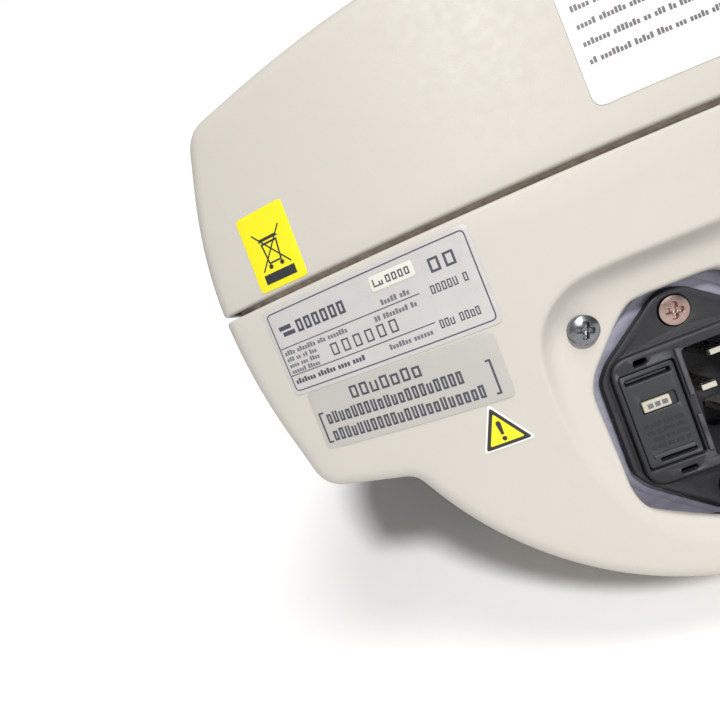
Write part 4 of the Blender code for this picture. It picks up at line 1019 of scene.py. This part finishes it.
def nameplate():
    centre, turn = (58.9, -13.0), 0.0
    label("rating_label", centre, turn, block(-24.7, -10.7, 24.7, 10.7, 1.6), SILVER_LABEL, "silver_label",
          "nameplate")
    boxes = [(-23.4, 0.9, 11.2, 1.12), (-23.4, -5.9, 12.0, -5.68)]
    boxes += [(-21.8, 5.0, -18.6, 6.0), (-21.2, 3.5, -18.0, 4.5)]
    boxes += words(12, 13.6, 21.8, 0.7, 1.8, 0.66, True) + words(21, 12.8, 22.4, -6.6, 1.8, 0.62, True)
    boxes += words(19, -22.8, -4.6, -7.4, 1.25)
    large = [(-17.2 + 2.15 * k, 3.3, -15.6 + 2.15 * k, 6.2, 0.55) for k in range(6)]
    large += [(15.0, 3.9, 17.2, 6.9, 0.5), (18.2, 3.9, 20.4, 6.9, 0.5)]
    large += [(-11.4 + 2.85 * k, -4.7, -9.7 + 2.85 * k, -1.9, 0.34) for k in range(6)]
    outlines = [[block(u0, v0, u1, v1), block(u0 + t, v0 + t, u1 - t, v1 - t)] for u0, v0, u1, v1, t in large]
    outlines.append(frame_line(47.5, 19.5, 1.2, 0.27))
    printed("rating_print", centre, turn, boxes, outlines, INK, "silver_label")
    boxes = words(11, 3.0, 10.8, 2.3, 1.2) + words(14, 0.4, 11.2, -0.6, 1.15)
    boxes += words(13, -22.8, -5.6, -0.3, 1.15) + words(15, -22.8, -13.6, -1.9, 1.05)
    boxes += words(16, -22.8, -14.2, -3.4, 1.05) + words(17, -22.8, -15.0, -4.9, 1.05)
    boxes += words(20, 1.2, 11.8, -7.4, 1.15)
    printed("rating_small_print", centre, turn, boxes, [], PALE_INK, "silver_label")
    date = (51.8, -6.45)
    made = plate([dense(turned_about(block(-4.9, -1.7, 4.9, 1.7, 0.55), date, 0.5), 1.2)], 0, 0.07,
                 0.14, 1.5, field=rear_field(LABEL_UP + 0.12))
    made.object("date_sticker", "projector", CREAM_STICKER, "silver_label")
    small = Sheet()
    digits = [(-3.9 + 1.4 * k, -0.8, -2.9 + 1.4 * k, 0.8) for k in range(4)]
    rims = [b for u0, v0, u1, v1 in digits for b in ((u0, v0, u0 + 0.3, v1), (u1 - 0.3, v0, u1, v1),
                                                     (u0, v0, u1, v0 + 0.3), (u0, v1 - 0.3, u1, v1))]
    mark = [(2.0, -0.8, 4.2, -0.5), (2.0, -0.5, 2.3, 0.2), (2.6, -0.5, 2.9, 0.2), (3.9, -0.5, 4.2, 0.9)]
    bars(small, date, 0.5, rims + mark, lambda x, z: rear_y(x, z) + LABEL_UP + 0.15)
    small.object("date_print", "projector", INK, "silver_label")


def fuse_sticker():
    centre, turn = (58.9, -31.3), 0.7
    label("fuse_sticker", centre, turn, block(-21.85, -7.2, 21.85, 7.2, 1.5), GREY_LABEL, "silver_label",
          "fuse_label")
    boxes = words(31, -11.2, 6.6, 4.3, 2.9, 0.85, True, False)
    boxes += words(32, -19.0, 14.6, 0.0, 2.8, 0.58, True, False)
    boxes += words(33, -19.0, 18.2, -4.2, 2.8, 0.58, True, False)
    for u, way in ((-20.6, 1), (19.2, -1)):
        boxes += [(u - 0.22, -5.8, u + 0.22, 1.8)]
        boxes += [(min(u, u + way * 0.9), v, max(u, u + way * 1.1), v + 0.44) for v in (-5.8, 1.36)]
    printed("fuse_print", centre, turn, boxes, [], INK, "silver_label")


def warning_triangle():
    corners = [(43.2, -39.4), (37.2, -47.7), (46.9, -48.3)]
    centre = tuple(np.array(corners).mean(0))
    local = [(x - centre[0], z - centre[1]) for x, z in corners]
    white = grown(local, 0.38)
    label("triangle_edge", centre, 0, rounded(white, 0.9, 4), WHITE, "yellow_label",
          "caution_label", 0.05)
    printed("triangle_field", centre, 0, [], [[[(-x, z) for x, z in rounded(local, 0.7, 4)]]], SOLID_INK,
            "yellow_label")
    sheet = Sheet()
    inner = dense([(x + centre[0], z + centre[1]) for x, z in rounded(grown(local, -0.72), 0.4, 4)], 2.0)
    sheet.patch([inner], [], field=rear_field(LABEL_UP + 2 * INK_UP))
    sheet.face_rear()
    sheet.object("triangle_face", "projector", YELLOW, "yellow_label")
    middle = (centre[0] + 0.1, centre[1] - 0.2)
    mark = Sheet()
    above = rear_field(LABEL_UP + 3 * INK_UP)
    for loop in ([(-0.3, -0.2), (0.3, -0.2), (0.52, 2.3), (0.3, 2.75), (-0.3, 2.75), (-0.52, 2.3)],
                 circle(0.5, 16, (0.0, -1.1))):
        mark.patch([turned_about(loop, middle, -3.6)], [], field=above)
    mark.face_rear()
    mark.object("triangle_mark", "projector", SOLID_INK, "yellow_label")


def side_sticker():
    centre, turn = (74.7, 10.6), 1.5
    label("disposal_sticker", centre, turn, block(-6.3, -9.05, 6.3, 9.05, 1.0), YELLOW, "yellow_label",
          "side_label")
    bin_body = [(-2.2, 1.6), (-1.7, -3.4), (1.7, -3.4), (2.2, 1.6)]
    inner = [(-1.75, 1.15), (-1.35, -3.0), (1.35, -3.0), (1.75, 1.15)]
    shapes = [[bin_body, inner], [circle(0.55, 16, (-1.5, -4.0))], [circle(0.55, 16, (1.5, -4.0))],
              [[(-2.7, 2.0), (2.7, 2.0), (2.2, 2.7), (-2.2, 2.7)]]]
    for a, b in (((-3.7, 4.3), (3.7, -4.6)), ((3.7, 4.3), (-3.7, -4.6))):
        way = (Vector(b) - Vector(a)).normalized()
        out = Vector((-way.y, way.x)) * 0.17
        shapes.append([[tuple(Vector(a) + out), tuple(Vector(b) + out), tuple(Vector(b) - out),
                        tuple(Vector(a) - out)]])
    printed("disposal_print", centre, turn, [(-4.1, -7.6, 4.1, -5.4)], shapes, SOLID_INK, "yellow_label")


def white_sticker():
    low, high = (5.0, 7.4), (-29.0, 30.5)
    loop = block(high[0], low[1], low[0], high[1], 2.5, 8)
    centre = (0.0, 0.0)
    label("service_sticker", centre, 0, loop, WHITE, "white_label", "round_label")
    boxes = [b for k in range(4) for b in words(40 + k, -3.0, 25.0, 26.0 - 3.4 * k, 1.2)]
    printed("service_print", centre, 0, boxes, [], PALE_INK, "white_label")


inlet()
flange_shim()
fuse_holder()
for name, side, spin in (("cover_screw_left", 1, 0.35), ("cover_screw_right", -1, 1.1)):
    screw(name + "_head", (side * COVER_SCREW[0], COVER_SCREW[1]), 3.0, -1.5, 0.8, spin, DARK_CHROME,
          "screw_chrome", name, [(0.35, 3.05), (1.75, 3.05)])
# the flange screws' pink tint is a painted reflection
for name, side, spin in (("flange_screw_upper", 1, 0.2), ("flange_screw_lower", -1, 0.9)):
    screw(name + "_head", (0.0, INLET_Z + side * INLET_SCREW), 3.1, FLANGE_Y + 0.25, 0.35, spin, CHROME_PAINTED_PINK_REFLECTION,
          "screw_chrome", name, [(0.25, 3.05), (1.6, 1.7)])
nameplate()
fuse_sticker()
warning_triangle()
side_sticker()
white_sticker()


# ---------------------------------------------------------------- the front, the tilt knob and the base
BEZEL_R = 4.5


def bezel():
    sheet = Sheet()
    low, up = full_lower(FRONT_EDGE, 0.0), full_upper(FRONT_EDGE)
    lines = [[row(x, FRONT_EDGE - 0.7, z) for x, z in low + list(reversed(up))]]
    for k in range(8):
        angle = math.pi / 2 * k / 7
        loop = inset(low, BEZEL_R * (1 - math.cos(angle)), False)
        loop += list(reversed(inset(up, BEZEL_R * (1 - math.cos(angle)), True)))
        lines.append([row(x, bezel_y(x, z) + BEZEL_R * (1 - math.sin(angle)), z) for x, z in loop])
    sheet.strip(lines, closed=True)
    holes = [circle(27.0, 96, (0.0, OPTIC_Z)), block(-57.7, -28.7, -38.3, -19.3, 1.2),
             circle(3.6, 32, (48.0, -24.0))]
    sheet.fill([loop, *holes], 4.0, 1.4, lambda x, z: row(x, bezel_y(x, z), z))
    front = row(0, -268, 0).y
    sheet.weld(lambda c: Vector((0, -1, 0)) if c.y < front else Vector((c.x, 0, c.z - ORIGIN.z)))
    sheet.lip(0.7, WALL, lambda x, y, z: y < -262 and math.hypot(x, z - OPTIC_Z) < 30)
    sheet.lip(0.4, WALL, lambda x, y, z: y < -262 and x < -30 and z < -15)
    sheet.lip(0.3, WALL, lambda x, y, z: y < -262 and x > 40 and z < -15)
    sheet.lip(0.3, WALL, lambda x, y, z: y > -257.5)
    sheet.object("front_frame", "projector", DARK_GREY, "front_panel", ["front_bezel"])


def receiver_window():
    sheet = Sheet()
    loop = facing_loop(resample(block(-56.8, -27.8, -39.2, -20.2, 0.9), 1.2, closed=True))
    sheet.fill([loop], 2.0, 0.8, lambda x, z: row(x, bezel_y(x, z) - 0.25, z))
    sheet.weld(lambda c: Vector((0, -1, 0)))
    sheet.lip(0.2, 4.0)
    sheet.object("receiver_window", "projector", IR_RED, "ir_window", ["ir_window"])


def grip_ring():
    back, front = -256.5, -288.8
    profile = [(20.7, back), (23.4, back), (23.85, back - 0.2), (24.0, back - 0.7), (24.0, back - 4.6),
               (24.25, back - 5.0), (24.8, back - 6.2), (24.8, back - 12), (24.8, back - 18),
               (24.8, back - 23.8),
               (24.25, back - 25), (24.0, back - 25.4), (24.0, front + 1.2), (23.85, front + 0.5),
               (23.4, front + 0.1), (22.9, front), (22.3, front), (21.9, front + 0.3), (21.2, front + 1.6),
               (20.7, front + 2.4), (20.7, back)]
    ring = lathe(profile, (0.0, 0.0, OPTIC_Z), "y", 384, (32, 0.8, 5, 10))
    ring.object("grip_ring", "focus_ring", DARK_GREY, "front_panel", ["focus_ring"], 50)


def knob():
    def star(angle, shrink):
        beyond = (math.degrees(angle) - 5 + 30) % 60 - 30
        return 11.5 - shrink - 1.6 * math.exp(-(beyond / 9.5) ** 2)

    steps = [(0.02, 33.3), (7.6, 33.3), (8.0, 33.6), (8.0, 35.0)]
    rounded_in = [(1.0 - math.sin(a), 36.0 - math.cos(a)) for a in (math.pi / 10 * k for k in range(6))]
    rounded_out = [(1.0 - math.cos(a), 44.0 + math.sin(a)) for a in (math.pi / 10 * k for k in range(6))]
    lines, count = [], 144
    angles = [2 * math.pi * i / count for i in range(count)]

    def ring(radii, x):
        lines.append([row(x, PIVOT_Y + r * math.cos(a), PIVOT_Z + r * math.sin(a))
                      for a, r in zip(angles, radii)])

    for r, x in steps:
        ring([r] * count, x)
    for shrink, x in rounded_in + rounded_out:
        ring([star(a, shrink) for a in angles], x)
    for r, x in ((7.4, 45.0), (7.0, 44.9), (6.6, 44.5), (6.3, 44.3), (3.0, 44.3), (0.02, 44.3)):
        ring([r] * count, x)
    made = Sheet().strip(lines, closed=True)
    middle = row(40, PIVOT_Y, PIVOT_Z)
    made.weld(lambda c: c - middle)
    made.object("lobed_knob", "tilt_knob", BLACK, "black_plastic", ["tilt_knob"], 45)


def foot_plate():
    profile = [(0.02, -91.0), (44.2, -91.0), (44.6, -91.2), (45.0, -91.6), (46.2, -91.6), (46.6, -91.2),
               (47.0, -91.0), (57.4, -91.0), (59.4, -91.25), (61.4, -92.2), (62.9, -93.8), (63.7, -95.8),
               (64.0, -97.6), (64.0, -99.4), (63.8, -99.95), (63.3, -100.2), (0.02, -100.2)]
    plate_sheet = lathe(profile, (0.0, PIVOT_Y, 0.0), "z", 160)
    plate_sheet.object("cast_base", "base", CAST, "cast_base", ["base_plate"])


bezel()
receiver_window()
grip_ring()
knob()
foot_plate()


# ---------------------------------------------------------------- floor, light and camera
def stage_floor():
    bm = bmesh.new()
    bmesh.ops.create_grid(bm, x_segments=8, y_segments=8, size=6.0)
    mesh = bpy.data.meshes.new("floor")
    bm.to_mesh(mesh)
    bm.free()
    floor = bpy.data.objects.new("floor", mesh)
    floor.location.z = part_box("foot_rear_left")[0].z
    bpy.context.scene.collection.objects.link(floor)
    white = bpy.data.materials.new("floor_white")
    white.use_nodes = True
    shader = white.node_tree.nodes["Principled BSDF"]
    shader.inputs["Base Color"].default_value = (0.98, 0.98, 0.98, 1)
    shader.inputs["Roughness"].default_value = 0.9
    shader.inputs["Specular IOR Level"].default_value = 0.0
    floor.data.materials.append(white)


stage_floor()
world = bpy.data.worlds.new("studio")
bpy.context.scene.world = world
world.use_nodes = True
sky, wires = world.node_tree.nodes["Background"], world.node_tree.links
sky.inputs["Color"].default_value = (0.97, 0.985, 1.0, 1)
FILL = 0.09                  # how much the white surround lights the scene
behind = world.node_tree.nodes.new("ShaderNodeMapRange")
behind.inputs["To Min"].default_value = FILL
behind.inputs["To Max"].default_value = 1.06
wires.new(world.node_tree.nodes.new("ShaderNodeLightPath").outputs["Is Camera Ray"], behind.inputs["Value"])
wires.new(behind.outputs["Result"], sky.inputs["Strength"])


def sky_light(name, way, angle, power, colour):
    lamp = bpy.data.lights.new(name, "SUN")
    lamp.angle = math.radians(angle)
    lamp.energy = power
    lamp.color = colour
    made = bpy.data.objects.new(name, lamp)
    bpy.context.scene.collection.objects.link(made)
    made.rotation_euler = Vector(way).to_track_quat("Z", "Y").to_euler()


sky_light("overhead", (-0.3, 0.45, 1.0), 28, 1.33, (1.0, 0.995, 0.985))
sky_light("window", (-0.2, 1.5, 1.0), 8, 3.3, (1.0, 0.99, 0.97))
sky_light("left_fill", (0.9, 1.3, 0.6), 80, 0.42, (1.0, 0.99, 0.98))
bpy.context.scene.view_settings.view_transform = "Standard"

camera_data = bpy.data.cameras.new("camera")
camera = bpy.data.objects.new("camera", camera_data)
bpy.context.scene.collection.objects.link(camera)
camera_data.sensor_width = 36.0
camera_data.lens = 25.84
camera_data.clip_start = 0.005
CAMERA_PLACE = (53.6, 103.5, -11.5)
HEADING, ELEVATION, ROLL = (math.radians(a) for a in (5.70, 4.57, -22.36))
backwards = Vector((-math.sin(HEADING) * math.cos(ELEVATION), math.cos(HEADING) * math.cos(ELEVATION),
                    math.sin(ELEVATION)))
turn = backwards.to_track_quat("Z", "Y").to_matrix() @ Matrix.Rotation(ROLL, 3, "Z")
camera.matrix_world = Matrix.Translation(row(*CAMERA_PLACE)) @ turn.to_4x4()
bpy.context.scene.camera = camera
